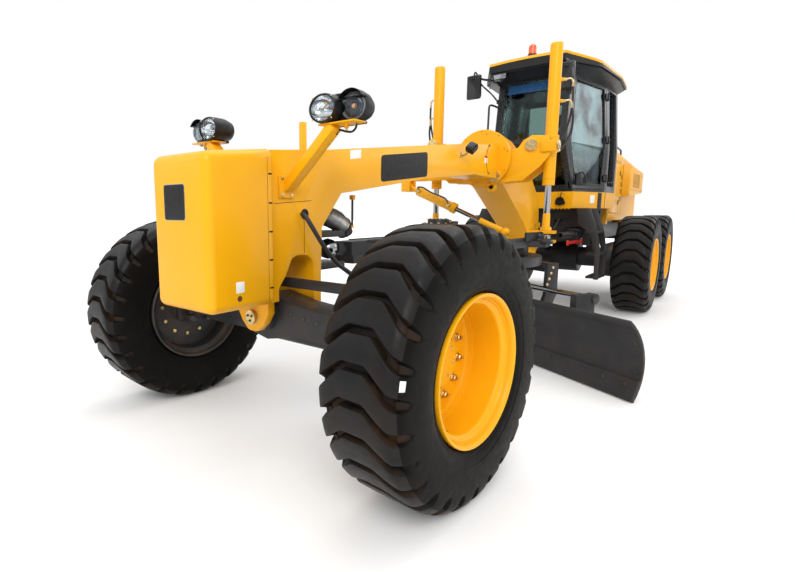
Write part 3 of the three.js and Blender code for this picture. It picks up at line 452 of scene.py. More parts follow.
    def ball(s, c, r, n=16, mat=0, squash=(1, 1, 1)):
        bm = bmesh.new()
        bmesh.ops.create_uvsphere(bm, u_segments=n, v_segments=max(6, n // 2), radius=r)
        bmesh.ops.scale(bm, vec=V(squash), verts=bm.verts)
        bmesh.ops.translate(bm, vec=V(c), verts=bm.verts)
        return s.take(bm, mat)

    def make(s, name, mats, body, angle=35, replaces=()):
        me = bpy.data.meshes.new(name)
        me.from_pydata(s.v, [], s.f)
        me.update()
        bm = bmesh.new()
        bm.from_mesh(me)
        bmesh.ops.recalc_face_normals(bm, faces=bm.faces)
        bm.to_mesh(me)
        bm.free()
        for m in (mats if isinstance(mats, (list, tuple)) else [mats]):
            me.materials.append(m)
        me.polygons.foreach_set("material_index", s.m)
        me.polygons.foreach_set("use_smooth", [True] * len(s.f))
        me.set_sharp_from_angle(angle=rad(angle))
        o = bpy.data.objects.new(name, me)
        scene.collection.objects.link(o)
        if body:
            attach(o, body)
        if replaces:
            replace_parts(o, *replaces)
        return o


BODY_OF = {n: b for b, ns in frame["record"]["behaviour"]["bodies"].items() for n in ns}
SLOT_OF = {p["node"]: p["material_slot"] for p in frame["record"]["subparts"]}


def soften(node, mat, width=0.004, seg=2, limit=30.0, smooth=35):
    """The CAD node's own shape with its edges rounded."""
    src = N[node]
    me = src.data.copy()
    bm = bmesh.new()
    bm.from_mesh(me)
    bmesh.ops.remove_doubles(bm, verts=bm.verts, dist=1e-5)
    bmesh.ops.dissolve_limit(bm, angle_limit=rad(0.8), verts=bm.verts[:], edges=bm.edges[:])
    vol = abs(bm.calc_volume())
    lo = V([min(v.co[k] for v in bm.verts) for k in range(3)])
    hi = V([max(v.co[k] for v in bm.verts) for k in range(3)])
    plain = bm.copy()
    es = [e for e in bm.edges if len(e.link_faces) == 2 and e.calc_face_angle(0) > rad(limit)]
    bmesh.ops.bevel(bm, geom=es, offset=width, segments=seg, profile=0.5, affect="EDGES", clamp_overlap=True)
    ok = abs(abs(bm.calc_volume()) - vol) < 0.05 * vol + 1e-6
    ok = ok and all(min(v.co[k] for v in bm.verts) > lo[k] - 1e-4 and max(v.co[k] for v in bm.verts) < hi[k] + 1e-4 for k in range(3))
    if not ok:
        bm.free()
        bm = plain
    bmesh.ops.recalc_face_normals(bm, faces=bm.faces)
    bm.to_mesh(me)
    bm.free()
    me.materials.clear()
    me.materials.append(mat)
    me.polygons.foreach_set("material_index", [0] * len(me.polygons))
    me.polygons.foreach_set("use_smooth", [True] * len(me.polygons))
    me.set_sharp_from_angle(angle=rad(smooth))
    o = bpy.data.objects.new(node + "_skin", me)
    scene.collection.objects.link(o)
    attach(o, BODY_OF[node])
    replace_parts(o, node)
    return o


SIDES = (("left", 1), ("right", -1))

# ------------------------------------------------------------------ wheels
LUGS = 28
HALF = [  # across the tread from the centre outwards: y, radius, groove depth, groove half width in pitches
    (0.000, 0.6500, 0.036, 0.125), (0.030, 0.6500, 0.036, 0.125), (0.056, 0.6500, 0.036, 0.125), (0.074, 0.6500, 0.036, 0.128),
    (0.092, 0.6498, 0.036, 0.135), (0.112, 0.6494, 0.037, 0.145), (0.132, 0.6486, 0.038, 0.155),
    (0.150, 0.6470, 0.039, 0.165), (0.164, 0.6440, 0.040, 0.175), (0.172, 0.6400, 0.040, 0.182), (0.186, 0.6270, 0.038, 0.192),
    (0.198, 0.6120, 0.034, 0.198), (0.2055, 0.5980, 0.028, 0.196), (0.2100, 0.5840, 0.022, 0.188),
    (0.2128, 0.5700, 0.016, 0.172), (0.2142, 0.5600, 0.011, 0.148), (0.2150, 0.5520, 0.006, 0.110),
    (0.2155, 0.5470, 0.002, 0.060), (0.2160, 0.5420, 0.0, 0.03), (0.2175, 0.5150, 0.0, 0.03),
    (0.2188, 0.4850, 0.0, 0.03), (0.2185, 0.4550, 0.0, 0.03), (0.2165, 0.4300, 0.0, 0.03),
    (0.2160, 0.4270, 0.0, 0.03), (0.2136, 0.4245, 0.0, 0.03), (0.2118, 0.4080, 0.0, 0.03),
    (0.2060, 0.3900, 0.0, 0.03), (0.2020, 0.3820, 0.0, 0.03), (0.2030, 0.3780, 0.0, 0.03),
    (0.1985, 0.3660, 0.0, 0.03), (0.1900, 0.3580, 0.0, 0.03), (0.1822, 0.3530, 0.0, 0.03),
    (0.1648, 0.3178, 0.0, 0.03),
]


def bend_of(y):
    t = max(0.0, (abs(y) - 0.062) / 0.115)
    return 0.66 * t if t < 1 else 0.66 + 0.42 * (t - 1)


def tyre_shape():
    rows = [(-y, r, d, g) for y, r, d, g in HALF[::-1]] + HALF[1:]
    pitch = 2 * math.pi / LUGS
    vs, fs, ms = [], [], []
    cols = 8
    nc = LUGS * cols
    for (y, r, d, g) in rows:
        f = bend_of(y)
        gb = g * 0.62
        us = [-g, -gb, gb, g, g + (1 - 2 * g) * 0.08, g + (1 - 2 * g) * 0.36, g + (1 - 2 * g) * 0.64, g + (1 - 2 * g) * 0.92]
        dep = [0.0, d, d, 0.0, 0, 0, 0, 0]
        edge = 0.0018 if d > 0.01 else 0.0
        for k in range(LUGS):
            for j in range(cols):
                a = (k + us[j] - f) * pitch
                n = (0.0, 1.0) if abs(y) < 0.15 else (0.55, 0.84) if abs(y) < 0.19 else (1.0, 0.45) if r > 0.6 else (1.0, 0.1)
                rr = r - dep[j] * n[1] - (edge if j in (0, 3) else 0)
                yy = y - math.copysign(dep[j] * n[0], y) * (0.0 if abs(y) < 0.15 else 0.8)
                vs.append((rr * math.cos(a), yy, rr * math.sin(a)))
    nr = len(rows)
    for i in range(nr - 1):
        deep = min(rows[i][2], rows[i + 1][2]) > 0.002
        wide = min(rows[i][1], rows[i + 1][1]) > 0.60
        for c in range(nc):
            c2 = (c + 1) % nc
            j = c % cols
            fs.append((i * nc + c, i * nc + c2, (i + 1) * nc + c2, (i + 1) * nc + c))
            if deep and j == 1:
                ms.append(2)
            elif deep and j in (0, 2):
                ms.append(2 if wide else 1)
            else:
                ms.append(0 if wide else 1)
    for c in range(nc):
        c2 = (c + 1) % nc
        fs.append(((nr - 1) * nc + c, (nr - 1) * nc + c2, c2, c))
        ms.append(1)
    return vs, fs, ms


RIM = [  # along the axle (outwards), radius, 0 yellow or 1 dark (painted shade on the rim's inner side)
    (-0.030, 0.002, 0), (-0.030, 0.090, 0), (-0.030, 0.150, 0), (-0.030, 0.255, 0), (-0.0295, 0.272, 0), (-0.0270, 0.282, 0), (-0.0225, 0.2885, 0),
    (-0.0140, 0.2925, 0), (0.0050, 0.2945, 0), (0.0060, 0.2958, 0), (0.1330, 0.2990, 0), (0.1450, 0.2992, 0), (0.1520, 0.3000, 0), (0.1570, 0.3026, 0), (0.1600, 0.3070, 0),
    (0.1635, 0.3145, 0), (0.1680, 0.3200, 0), (0.1740, 0.3232, 0), (0.1785, 0.3242, 0), (0.1770, 0.3262, 0), (0.1790, 0.3286, 0),
    (0.1880, 0.3300, 0), (0.1980, 0.3325, 0), (0.2050, 0.3370, 0), (0.2088, 0.3425, 0), (0.2094, 0.3475, 0), (0.2070, 0.3508, 0), (0.2030, 0.3518, 0),
    (0.1950, 0.3518, 0), (0.1835, 0.3500, 0), (0.1800, 0.3460, 0), (0.1650, 0.3158, 0), (-0.1650, 0.3158, 1), (-0.1800, 0.3460, 1),
    (-0.1835, 0.3500, 1), (-0.1950, 0.3518, 1), (-0.2030, 0.3518, 1), (-0.2070, 0.3508, 1), (-0.2094, 0.3475, 1), (-0.2088, 0.3425, 1),
    (-0.2050, 0.3370, 1), (-0.1980, 0.3325, 1), (-0.1790, 0.3280, 1), (-0.1740, 0.3232, 1), (-0.1600, 0.3070, 1), (-0.1520, 0.3000, 1),
    (-0.1450, 0.2992, 1), (-0.0700, 0.2960, 1), (-0.0540, 0.2900, 1), (-0.0460, 0.2760, 1), (-0.0440, 0.2600, 1), (-0.0440, 0.002, 1),
]


def placed(bld, M):
    bld.v = [tuple(M @ V(p)) for p in bld.v]
    return bld


WB, TD, TR, AZ, ST = -6.46, 1.53, 1.079, 0.65, rad(-4.5)
tv, tf, tm = tyre_shape()
WHEELS = []
for sn, s in SIDES:
    kp = V((0, s * 0.93, AZ))
    off = Matrix.Rotation(ST, 4, "Z") @ V((0, s * (TR - 0.93), 0))
    WHEELS.append((f"front_{sn}", Matrix.Translation(kp + off) @ Matrix.Rotation(ST, 4, "Z"), s, f"wheel_front_{sn}"))
    WHEELS.append((f"middle_{sn}", Matrix.Translation((WB + TD / 2, s * TR, AZ)), s, f"wheel_middle_{sn}"))
    WHEELS.append((f"rear_{sn}", Matrix.Translation((WB - TD / 2, s * TR, AZ)), s, f"wheel_rear_{sn}"))

for i, (name, M, s, body) in enumerate(WHEELS):
    turn = Matrix.Rotation(rad(4.0 * i + 2.0), 4, "Y")
    b = Build()
    b.put(tv, tf, 0)
    b.m = list(tm)
    placed(b, M @ turn)
    b.make(f"tyre_{name}_tread", [lug_mat, side_painted_shade_mat, groove_mat], body, 32, (f"tyre_{name}",))
    if name == "front_left":
        b = Build()
        a0, vs_ = rad(8.5), []
        for q in range(5):
            for da in (-0.034, -0.011, 0.011, 0.034):
                yy = 0.2005 + 0.0100 * q / 4
                rr_ = 0.6095 - 0.0240 * q / 4
                vs_.append((rr_ * math.cos(a0 + da) + 0.0024, yy + 0.0020, rr_ * math.sin(a0 + da)))
        fs_ = [(q * 4 + w_, q * 4 + w_ + 1, q * 4 + w_ + 5, q * 4 + w_ + 4) for q in range(4) for w_ in range(3)]
        b.put(vs_, fs_, 0)
        placed(b, M)
        o = b.make("tyre_label_blank", white_label, body, 40)
        sol = o.modifiers.new("thick", "SOLIDIFY")
        sol.thickness = 0.0012
    # rim
    F = Matrix.Scale(-1, 4, (0, 1, 0)) if s < 0 else Matrix.Identity(4)
    b = Build()
    b.spin((0, 0, 0), (0, 1, 0), [(a, r) for a, r, m in RIM], 96, mats=[m for a, r, m in RIM])
    # valve slot in the barrel, drawn as a dark patch of painted shade, and its stem
    va = rad(-72)
    c = V((math.cos(va), 0, math.sin(va)))
    t = V((-math.sin(va), 0, math.cos(va)))
    b.put([c * 0.2972 + t * 0.020 + V((0, 0.060, 0)), c * 0.2972 - t * 0.020 + V((0, 0.060, 0)), c * 0.2975 + t * 0.004 + V((0, 0.104, 0)), c * 0.2975 - t * 0.004 + V((0, 0.104, 0)),
           c * 0.304 + t * 0.020 + V((0, 0.060, 0)), c * 0.304 - t * 0.020 + V((0, 0.060, 0)), c * 0.304 + t * 0.004 + V((0, 0.104, 0)), c * 0.304 - t * 0.004 + V((0, 0.104, 0))],
          [(0, 1, 3, 2), (4, 6, 7, 5), (0, 4, 5, 1), (1, 5, 7, 3), (3, 7, 6, 2), (2, 6, 4, 0)], 1)
    b.cyl(c * 0.296 + V((0, 0.07, 0)), c * 0.283 + V((0, 0.082, 0)), 0.0045, 10, mat=2)
    # hub, with a ring of painted shade round its foot
    b.spin((0, -0.032, 0), (0, 1, 0), [(0, 0.162), (0.0035, 0.162), (0.0040, 0.158), (0.0040, 0.134)], 48, mat=4)
    b.spin((0, -0.032, 0), (0, 1, 0), [(0, 0.1335), (0.018, 0.1335), (0.022, 0.1300), (0.033, 0.1270), (0.038, 0.1220), (0.040, 0.1000), (0.041, 0.0700), (0.0415, 0.0300), (0.041, 0.002)], 48, mat=0)
    for k in range(8):
        a = rad(45 * k + 10)
        b.bolt((0.096 * math.cos(a), 0.0075, 0.096 * math.sin(a)), (0, 1, 0), 0.0075, 0.006, mat=3)
    for k in range(12):
        a = rad(30 * k + 7)
        p = V((0.205 * math.cos(a), -0.0305, 0.205 * math.sin(a)))
        b.spin(p, (0, 1, 0), [(0, 0.0235), (0.0035, 0.0235), (0.0045, 0.022)], 20, 2)
        b.spin(p, (0, 1, 0), [(0.003, 0.0165), (0.019, 0.0165), (0.022, 0.0140)], 6, 2)
        b.cyl(p + V((0, 0.02, 0)), p + V((0, 0.034, 0)), 0.0088, 12, mat=2, bev=0.0015)
        b.spin(p + V((0, -0.0135, 0)), (0, -1, 0), [(0, 0.0155), (0.010, 0.0155), (0.012, 0.013)], 6, 2)
    placed(b, M @ F @ Matrix.Rotation(rad(11 * i), 4, "Y"))
    b.make(f"rim_{name}_disc", [yellow_fine, rim_inner_painted_shade, brass, zinc, painted_shade_brown], body, 30, (f"rim_{name}",))

# ------------------------------------------------------------------ nose block
b = Build()
bm = bmesh.new()
P = [(0.2925, 0.861), (0.6995, 0.861), (0.6995, 1.632), (0.2925, 1.678)]
lo = [bm.verts.new((x, -0.2345, z)) for x, z in P]
hi = [bm.verts.new((x, 0.2345, z)) for x, z in P]
bm.faces.new(lo); bm.faces.new(hi[::-1])
for i in range(4):
    bm.faces.new((lo[i], hi[i], hi[(i + 1) % 4], lo[(i + 1) % 4]))
bmesh.ops.recalc_face_normals(bm, faces=bm.faces)
es = [e for e in bm.edges if not all(abs(v.co.x - 0.2925) < 1e-5 for v in e.verts)]
bmesh.ops.bevel(bm, geom=es, offset=0.046, segments=7, profile=0.5, affect="EDGES", clamp_overlap=True)
es = [e for e in bm.edges if all(abs(v.co.x - 0.2925) < 1e-5 for v in e.verts) and e.calc_face_angle(0) > 1]
bmesh.ops.bevel(bm, geom=es, offset=0.004, segments=2, profile=0.5, affect="EDGES", clamp_overlap=True)
b.take(bm)
b.box((0.267, 0, 1.262), (0.052, 0.362, 0.79), bev=0.003)
b.make("nose_weight", yellow, "front_frame", 30, ("front_block",))

b = Build()   # slots, seam and hole drawn as dark patches of painted shade; plate and label on the nose
for y in (0.2345, -0.2345):
    sg = math.copysign(1, y)
    for k in range(5):
        b.box((0.304, y, 0.956 + 0.148 * k), (0.026, 0.0016, 0.0085), mat=0, bev=0.0006)
    b.box((0.3225, y, 1.262), (0.0022, 0.0008, 0.74), mat=1)
    b.spin((0.522, y - sg * 0.004, 0.926), (0, sg, 0), [(0, 0.0150), (0.0046, 0.0150), (0.0050, 0.0140)], 24, 4)
    b.box((0.517, y + sg * 0.0004, 0.982), (0.052, 0.0010, 0.056), mat=2, bev=0.0004)
b.make("nose_details", [gloss_black, painted_shade_brown, white_label, chrome, painted_shade_brown], "front_frame", 30)

# ------------------------------------------------------------------ nose plate (blank), dark with a bright frame
b = Build()
bm = bmesh.new()
bmesh.ops.create_cube(bm, size=1.0)
bmesh.ops.scale(bm, vec=(0.006, 0.176, 0.172), verts=bm.verts)
es = [e for e in bm.edges if abs(e.verts[0].co.x - e.verts[1].co.x) > 0.001]
bmesh.ops.bevel(bm, geom=es, offset=0.016, segments=4, profile=0.5, affect="EDGES")
bmesh.ops.translate(bm, vec=(0.6975, -0.028, 1.400), verts=bm.verts)
b.take(bm, 0)
fr = []
for k in range(4):
    cx, cz = ((1, 1), (-1, 1), (-1, -1), (1, -1))[k]
    for j in range(5):
        a = rad(90 * k + 22.5 * j)
        fr.append(V((0.7, -0.028 + cx * (0.088 - 0.014) + 0.014 * math.cos(a), 1.400 + cz * (0.086 - 0.014) + 0.014 * math.sin(a))))
vs, fs = [], []
for p in fr:
    c = V((0.7, -0.028, 1.400))
    d = (p - c).normalized()
    for dx, dr in ((-0.004, 0.004), (0.0, 0.0035), (0.0008, 0.0), (0.0, -0.0035), (-0.004, -0.004)):
        vs.append(p + V((dx, 0, 0)) + d * dr)
n = len(fr)
for i in range(n):
    for j in range(5):
        fs.append((i * 5 + j, i * 5 + (j + 1) % 5, ((i + 1) % n) * 5 + (j + 1) % 5, ((i + 1) % n) * 5 + j))
b.put(vs, fs, 1)
b.make("nose_plate", [gloss_black, chrome], "front_frame", 40)

# ------------------------------------------------------------------ lamps on their arms
for sn, s in SIDES:
    b = Build()
    R = Matrix.Rotation(0, 3, "X")
    # bolted base plate on the beam
    bx, bz = 0.130, 1.490
    b.box((bx, s * 0.1765, bz), (0.112, 0.0115, 0.124), bev=0.005, mat=0)
    for dx, dz in ((0.036, 0.046), (0.036, -0.046), (-0.036, -0.046), (-0.036, 0.046)):
        b.bolt((bx + dx, s * 0.182, bz + dz), (0, s, 0), 0.0078, 0.0065, mat=2)
    # square arm
    p0, p1 = V((0.118, s * 0.182, 1.487)), V((0.110, s * 0.500, 1.776))
    d = (p1 - p0).normalized()
    u = V((1, 0, 0)); u = (u - d * u.dot(d)).normalized(); w = d.cross(u)
    rot = Matrix((u, w, d)).transposed()
    b.box((p0 + p1) / 2, (0.072, 0.052, (p1 - p0).length + 0.02), rot=rot, bev=0.006, mat=0)
    # top plate
    b.box((0.105, s * 0.545, 1.789), (0.094, 0.235, 0.008), bev=0.0025, mat=0)
    b.cyl((0.105, s * 0.575, 1.789), (0.105, s * 0.575, 1.765), 0.012, 12, mat=0)
    b.cyl((0.105, s * 0.575, 1.765), (0.105, s * 0.575, 1.752), 0.008, 6, mat=2)
    b.cyl((0.105, s * 0.625, 1.786), (0.105, s * 0.625, 1.774), 0.009, 6, mat=2)
    b.sweep([(0.085, s * 0.615, 1.80), (0.083, s * 0.620, 1.770), (0.085, s * 0.598, 1.748), (0.09, s * 0.565, 1.750), (0.094, s * 0.520, 1.762), (0.092, s * 0.500, 1.742)], 0.0055, 8, mat=1)
    # housing: two pods, the inner one standing further forward, joined behind
    cz = 1.8635

    def oval(xo, yc, ry, rz, n=40, tilt=0.0, xc=0.0):
        out = []
        for q in range(n):
            a_ = 2 * math.pi * q / n
            out.append(V((xc + xo, s * (yc + ry * math.cos(a_)), cz + rz * math.sin(a_))))
        return out

    def skin(rings, mat, cap0=False, cap1=False):
        n_ = len(rings[0])
        fs_ = []
        for q in range(len(rings) - 1):
            for w_ in range(n_):
                fs_.append((q * n_ + w_, q * n_ + (w_ + 1) % n_, (q + 1) * n_ + (w_ + 1) % n_, (q + 1) * n_ + w_))
        if cap0:
            fs_.append(tuple(range(n_)))
        if cap1:
            fs_.append(tuple((len(rings) - 1) * n_ + w_ for w_ in range(n_)))
        b.put([p for r_ in rings for p in r_], fs_, mat)

    yi, yo = 0.468, 0.620
    bm = bmesh.new()
    for r_ in (oval(0.098, yi, 0.0905, 0.0735), oval(0.060, yi, 0.088, 0.072), oval(0.015, yi, 0.072, 0.060), oval(-0.015, yi + 0.01, 0.045, 0.036), oval(-0.026, yi + 0.01, 0.020, 0.014),
               oval(0.092, yo, 0.080, 0.0745), oval(0.050, yo, 0.078, 0.072), oval(0.012, yo, 0.060, 0.056), oval(-0.008, yo - 0.01, 0.030, 0.028)):
        for p in r_:
            bm.verts.new(p)
    hull = bmesh.ops.convex_hull(bm, input=bm.verts[:])
    bmesh.ops.delete(bm, geom=[g for g in hull["geom_interior"] if isinstance(g, bmesh.types.BMVert)], context="VERTS")
    b.take(bm, 1)
    # inner pod: oval barrel with bezel, bowl, bulb, cross bar and lens
    skin([oval(0.070, yi, 0.090, 0.073), oval(0.120, yi, 0.0905, 0.0735), oval(0.158, yi, 0.0885, 0.0720), oval(0.168, yi, 0.0855, 0.0690), oval(0.171, yi, 0.0815, 0.0655),
          oval(0.168, yi, 0.0780, 0.0620), oval(0.150, yi, 0.0765, 0.0605), oval(0.112, yi, 0.060, 0.048)], 1, True, True)
    skin([oval(0.160, yi, 0.0768, 0.0608), oval(0.148, yi, 0.0700, 0.0560), oval(0.132, yi, 0.0540, 0.0440), oval(0.1215, yi, 0.030, 0.026), oval(0.1185, yi, 0.008, 0.007)], 4, False, True)
    for yy, rr_ in ((yi + 0.006, 0.0215), (yi - 0.036, 0.013)):
        b.spin((0.122, s * yy, cz + 0.006), (1, 0, 0), [(0, rr_), (0.010, rr_), (0.012, rr_ * 0.85), (0.006, rr_ * 0.5)], 20, 3)
        b.spin((0.126, s * yy, cz + 0.006), (1, 0, 0), [(0, rr_ * 0.34), (0.012, rr_ * 0.3), (0.016, rr_ * 0.1)], 12, 5)
    b.box((0.136, s * yi, cz - 0.026), (0.010, 0.096, 0.015), bev=0.002, mat=6)
    skin([oval(0.1600, yi, 0.0778, 0.0618), oval(0.1660, yi, 0.0765, 0.0606), oval(0.1705, yi, 0.060, 0.048), oval(0.1735, yi, 0.035, 0.028), oval(0.1745, yi, 0.006, 0.005)], 3, False, True)
    # outer pod: domed signal lens over a faceted bowl
    skin([oval(0.060, yo, 0.078, 0.0725), oval(0.098, yo, 0.0800, 0.0745), oval(0.106, yo, 0.0780, 0.0725), oval(0.108, yo, 0.0740, 0.0690), oval(0.102, yo, 0.0715, 0.0665)], 1, True, False)
    skin([oval(0.1040, yo, 0.0718, 0.0668), oval(0.0950, yo, 0.060, 0.056), oval(0.0880, yo, 0.036, 0.034), oval(0.0860, yo, 0.006, 0.006)], 6, False, True)
    b.spin((0.088, s * yo, cz), (1, 0, 0), [(0, 0.012), (0.012, 0.013), (0.022, 0.010), (0.026, 0.004)], 16, 5)
    skin([oval(0.1040, yo, 0.0715, 0.0665), oval(0.1180, yo, 0.0680, 0.0632), oval(0.1290, yo, 0.0580, 0.054), oval(0.1370, yo, 0.042, 0.039), oval(0.1415, yo, 0.022, 0.021), oval(0.1425, yo, 0.004, 0.004)], 3, False, True)
    for q in range(16):
        yq = yo - 0.058 + 0.116 * q / 15
        hh = math.sqrt(max(0.0, 1 - ((yq - yo) / 0.066) ** 2)) * 0.060
        b.box((0.106, s * yq, cz), (0.0030, 0.0022, 2 * hh), mat=3)
    # peak over the signal lens and base pad
    skin([[V((xx, s * (yo + rr_ * math.cos(t_)), cz + 0.001 + rr_ * 0.935 * math.sin(t_))) for t_ in [rad(28 + 124 * q / 20) for q in range(21)]] for xx, rr_ in ((0.085, 0.0812), (0.138, 0.0825), (0.140, 0.0805), (0.085, 0.0780))], 1)
    for yy, zz in ((yi - 0.062, 0.052), (yi + 0.062, 0.052), (yi - 0.062, -0.052), (yi + 0.062, -0.052)):
        b.spin((0.1665, s * yy, cz + zz), (1, 0, 0), [(0, 0.0042), (0.0032, 0.0042), (0.0044, 0.003)], 10, 2)
    b.box((0.060, s * 0.545, 1.7965), (0.100, 0.180, 0.014), bev=0.004, mat=1)
    b.make(f"headlamp_{sn}", [yellow, black_plastic, zinc, lens_mat, reflector, bulb_mat, white_label], "front_frame", 32, (f"lamp_{sn}",))

# ------------------------------------------------------------------ front frame
front = soften("front_frame", yellow, 0.005, 2, 32)
front.data.materials.append(charcoal)
front.data.materials.append(hose_mat)
for p in front.data.polygons:
    c = p.center
    if -0.51 < c.x < -0.165 and abs(c.y) < 0.095 and 0.98 < c.z < 1.235:
        p.material_index = 1
    elif c.x < 0.05 and c.x > -0.32 and c.y > 0.172 and 0.9 < c.z < 1.40:
        p.material_index = 2
    elif -0.66 < c.x < -0.165 and abs(c.y) < 0.06 and 1.19 < c.z < 1.41:
        p.material_index = 2
b = Build()      # grommet, hose, blank plates and labels, bolts, pin keeper
for s in (1, -1):
    # side plates overlap: the raised edge along the beam's lower web is drawn as thin dark lines of painted shade
    b.box((0.07, s * 0.1705, 1.409), (0.30, 0.0012, 0.003), rot=Matrix.Rotation(rad(4), 3, "Y"), mat=3)
    b.box((-0.018, s * 0.1705, 1.215), (0.003, 0.0012, 0.20), mat=3)
    # blank name plate with rounded ends
    pts = []
    x0, x1, z0a, z1a, z0b, z1b = -0.80, -1.45, 1.560, 1.742, 1.632, 1.822
    cs = [(x0, z1a), (x1, z1b), (x1, z0b), (x0, z0a)]
    rr = 0.032
    for i in range(4):
        p, a, c = V((*cs[i], 0)), V((*cs[i - 1], 0)), V((*cs[(i + 1) % 4], 0))
        da, dc = (a - p).normalized(), (c - p).normalized()
        for k in range(6):
            t = k / 5
            q = (p + da * rr) * (1 - t) ** 2 + p * 2 * t * (1 - t) + (p + dc * rr) * t * t
            pts.append((q.x, q.y))
    b.prism(pts, s * 0.170, s * 0.1716, "y", mat=2)
    # small blank label
    b.prism([(-0.452, 1.741), (-0.565, 1.757), (-0.565, 1.703), (-0.452, 1.687)], s * 0.170, s * 0.1709, "y", mat=4)
    # grommet
    b.spin((-0.022, s * 0.168, 1.342), (0, s, 0), [(0.0, 0.030), (0.0065, 0.030), (0.0095, 0.027), (0.0095, 0.019), (0.004, 0.0165)], 28, 1)
    # hex bolts on the articulation casting
    for k in range(4):
        b.bolt((-4.205, s * 0.1700, 0.93 + 0.09 * k), (0, s, 0), 0.012, 0.009, mat=5)
b.box((-0.62, 0.06, 1.452), (0.03, 0.03, 0.03), mat=0, bev=0.003)
b.cyl((-0.62, 0.06, 1.45), (-0.62, 0.06, 1.262), 0.0075, 12, mat=6)
b.cyl((-0.62, 0.06, 1.262), (-0.62, 0.06, 1.245), 0.011, 12, mat=0)
# axle pin end: keeper plate and bolts at the lug
b.spin((0.236, 0, 0.755), (1, 0, 0), [(0, 0.047), (0.005, 0.047), (0.006, 0.044), (0.0265, 0.041)], 40, 5)
b.spin((0.2605, 0, 0.755), (1, 0, 0), [(0, 0.030), (0.0012, 0.030)], 30, 3)
for k in range(3):
    a = rad(120 * k + 30)
    b.bolt((0.2612, 0.019 * math.cos(a), 0.755 + 0.019 * math.sin(a)), (1, 0, 0), 0.0075, 0.006, mat=1, washer=False)
b.make("frame_trim", [yellow_fine, black_plastic, gloss_black, painted_shade_brown, white_label, brass, hose_mat], "front_frame", 32)

# hose from the grommet to the axle, fixed in place; the fitting at its lower end follows the axle
b = Build()
hose_pts = [(0.0, 0.152, 1.345), (0.0, 0.196, 1.330), (-0.025, 0.225, 1.270), (-0.090, 0.255, 1.160), (-0.180, 0.285, 1.050), (-0.290, 0.320, 0.965)]
b.sweep(hose_pts + [(-0.33, 0.345, 0.86), (-0.30, 0.35, 0.74), (-0.235, 0.34, 0.655)], 0.0135, 14, mat=0, smooth=7)
o = b.make("steer_hose", hose_mat, None, 60)
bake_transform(o)
b = Build()
b.cyl((-0.240, 0.341, 0.662), (-0.205, 0.318, 0.610), 0.017, 6, mat=0)
b.cyl((-0.215, 0.322, 0.625), (-0.190, 0.310, 0.585), 0.014, 14, mat=0)
b.make("hose_fitting", zinc, "front_axle", 35)

# flexible conduit behind the leg: thin hoops round the whole run
b = Build()
cps = [V(p) for p in ((-0.168, 0, 1.352), (-0.290, 0, 1.345), (-0.405, 0, 1.325), (-0.510, 0, 1.292), (-0.590, 0, 1.258))]
b.sweep(cps, 0.057, 28, mat=0, smooth=60, radii=lambda t: 0.0590 + 0.0040 * math.cos(t * 2 * math.pi * 30))
b.cyl((-0.582, 0, 1.262), (-0.602, 0, 1.252), 0.064, 28, mat=1, bev=0.006)
b.make("flex_conduit", [conduit_mat, black_plastic], "front_frame", 80)

# ------------------------------------------------------------------ saddle
soften("saddle", yellow, 0.004, 2, 32)
b = Build()
b.spin((-2.902, 0, 1.90), (1, 0, 0), [(0, 0.289), (0.0015, 0.2895), (0.0035, 0.287), (0.0035, 0.255), (0.0025, 0.2535)], 96, 0)
for k in range(9):
    a = rad(40 * k + 12)
    b.bolt((-2.8985, 0.272 * math.cos(a), 1.90 + 0.272 * math.sin(a)), (1, 0, 0), 0.006, 0.005, mat=3, washer=False)


def cap(bld, c, d, r):
    """Bolted round pin cap."""
    d = V(d).normalized()
    u, w, _ = basis(d)
    bld.spin(c, d, [(0, r * 1.12), (0.012, r * 1.12), (0.015, r * 1.08)], 40, 0)
    bld.spin(V(c) + d * 0.013, d, [(0, r), (0.007, r), (0.009, r * 0.97), (0.0095, r * 0.5), (0.0085, r * 0.2)], 40, 1)
    for k in range(4):
        a = rad(90 * k + 35)
        bld.bolt(V(c) + d * 0.021 + (u * math.cos(a) + w * math.sin(a)) * r * 0.76, d, r * 0.11, 0.006, mat=2)


cap(b, (-2.982, 0.470, 2.005), (1, 0, 0), 0.058)
cap(b, (-2.901, 0.150, 1.712), (1, 0, 0), 0.055)
cap(b, (-2.9365, -0.585, 2.085), (1, 0, 0), 0.056)
for s in (1, -1):
    # yoke round each lift cylinder and its pin end
    b.box((-2.985, s * 0.640, 1.985), (0.052, 0.155, 0.112), bev=0.006, mat=0)
    b.spin((-2.985, s * 0.7165, 1.985), (0, s, 0), [(0, 0.046), (0.010, 0.046), (0.013, 0.041)], 28, 2)
    b.bolt((-2.985, s * 0.729, 1.985), (0, s, 0), 0.012, 0.008, mat=2)
# end of the beam's side plate: curved edge and two short marks drawn as dark lines of painted shade, blank label,
# lifting eye washer, red paint dots
for sg in (1, -1):
    arc = [V((-2.655 + 0.050 * math.sin(math.pi * q / 12), sg * 0.1712, 1.995 - 0.262 * q / 12)) for q in range(13)]
    b.sweep(arc, 0.0022, 6, mat=4, smooth=1)
    for z0_ in (1.995, 1.728):
        b.box((-2.672, sg * 0.1705, z0_), (0.034, 0.0016, 0.018), mat=4)
    b.box((-2.598, sg * 0.1707, 1.856), (0.066, 0.0014, 0.070), mat=5)
    b.box((-2.598, sg * 0.1709, 1.880), (0.066, 0.0016, 0.020), mat=3)
for k in range(6):
    a = rad(60 * k + 20)
    b.spin((-2.8970, 0.245 * math.cos(a), 1.90 + 0.245 * math.sin(a)), (1, 0, 0), [(0, 0.0065), (0.0015, 0.005)], 10, 3)
b.spin((-2.9545, 0.090, 1.610), (1, 0, 0), [(0, 0.034), (0.002, 0.034), (0.002, 0.0225), (0.0, 0.0225)], 28, 0)
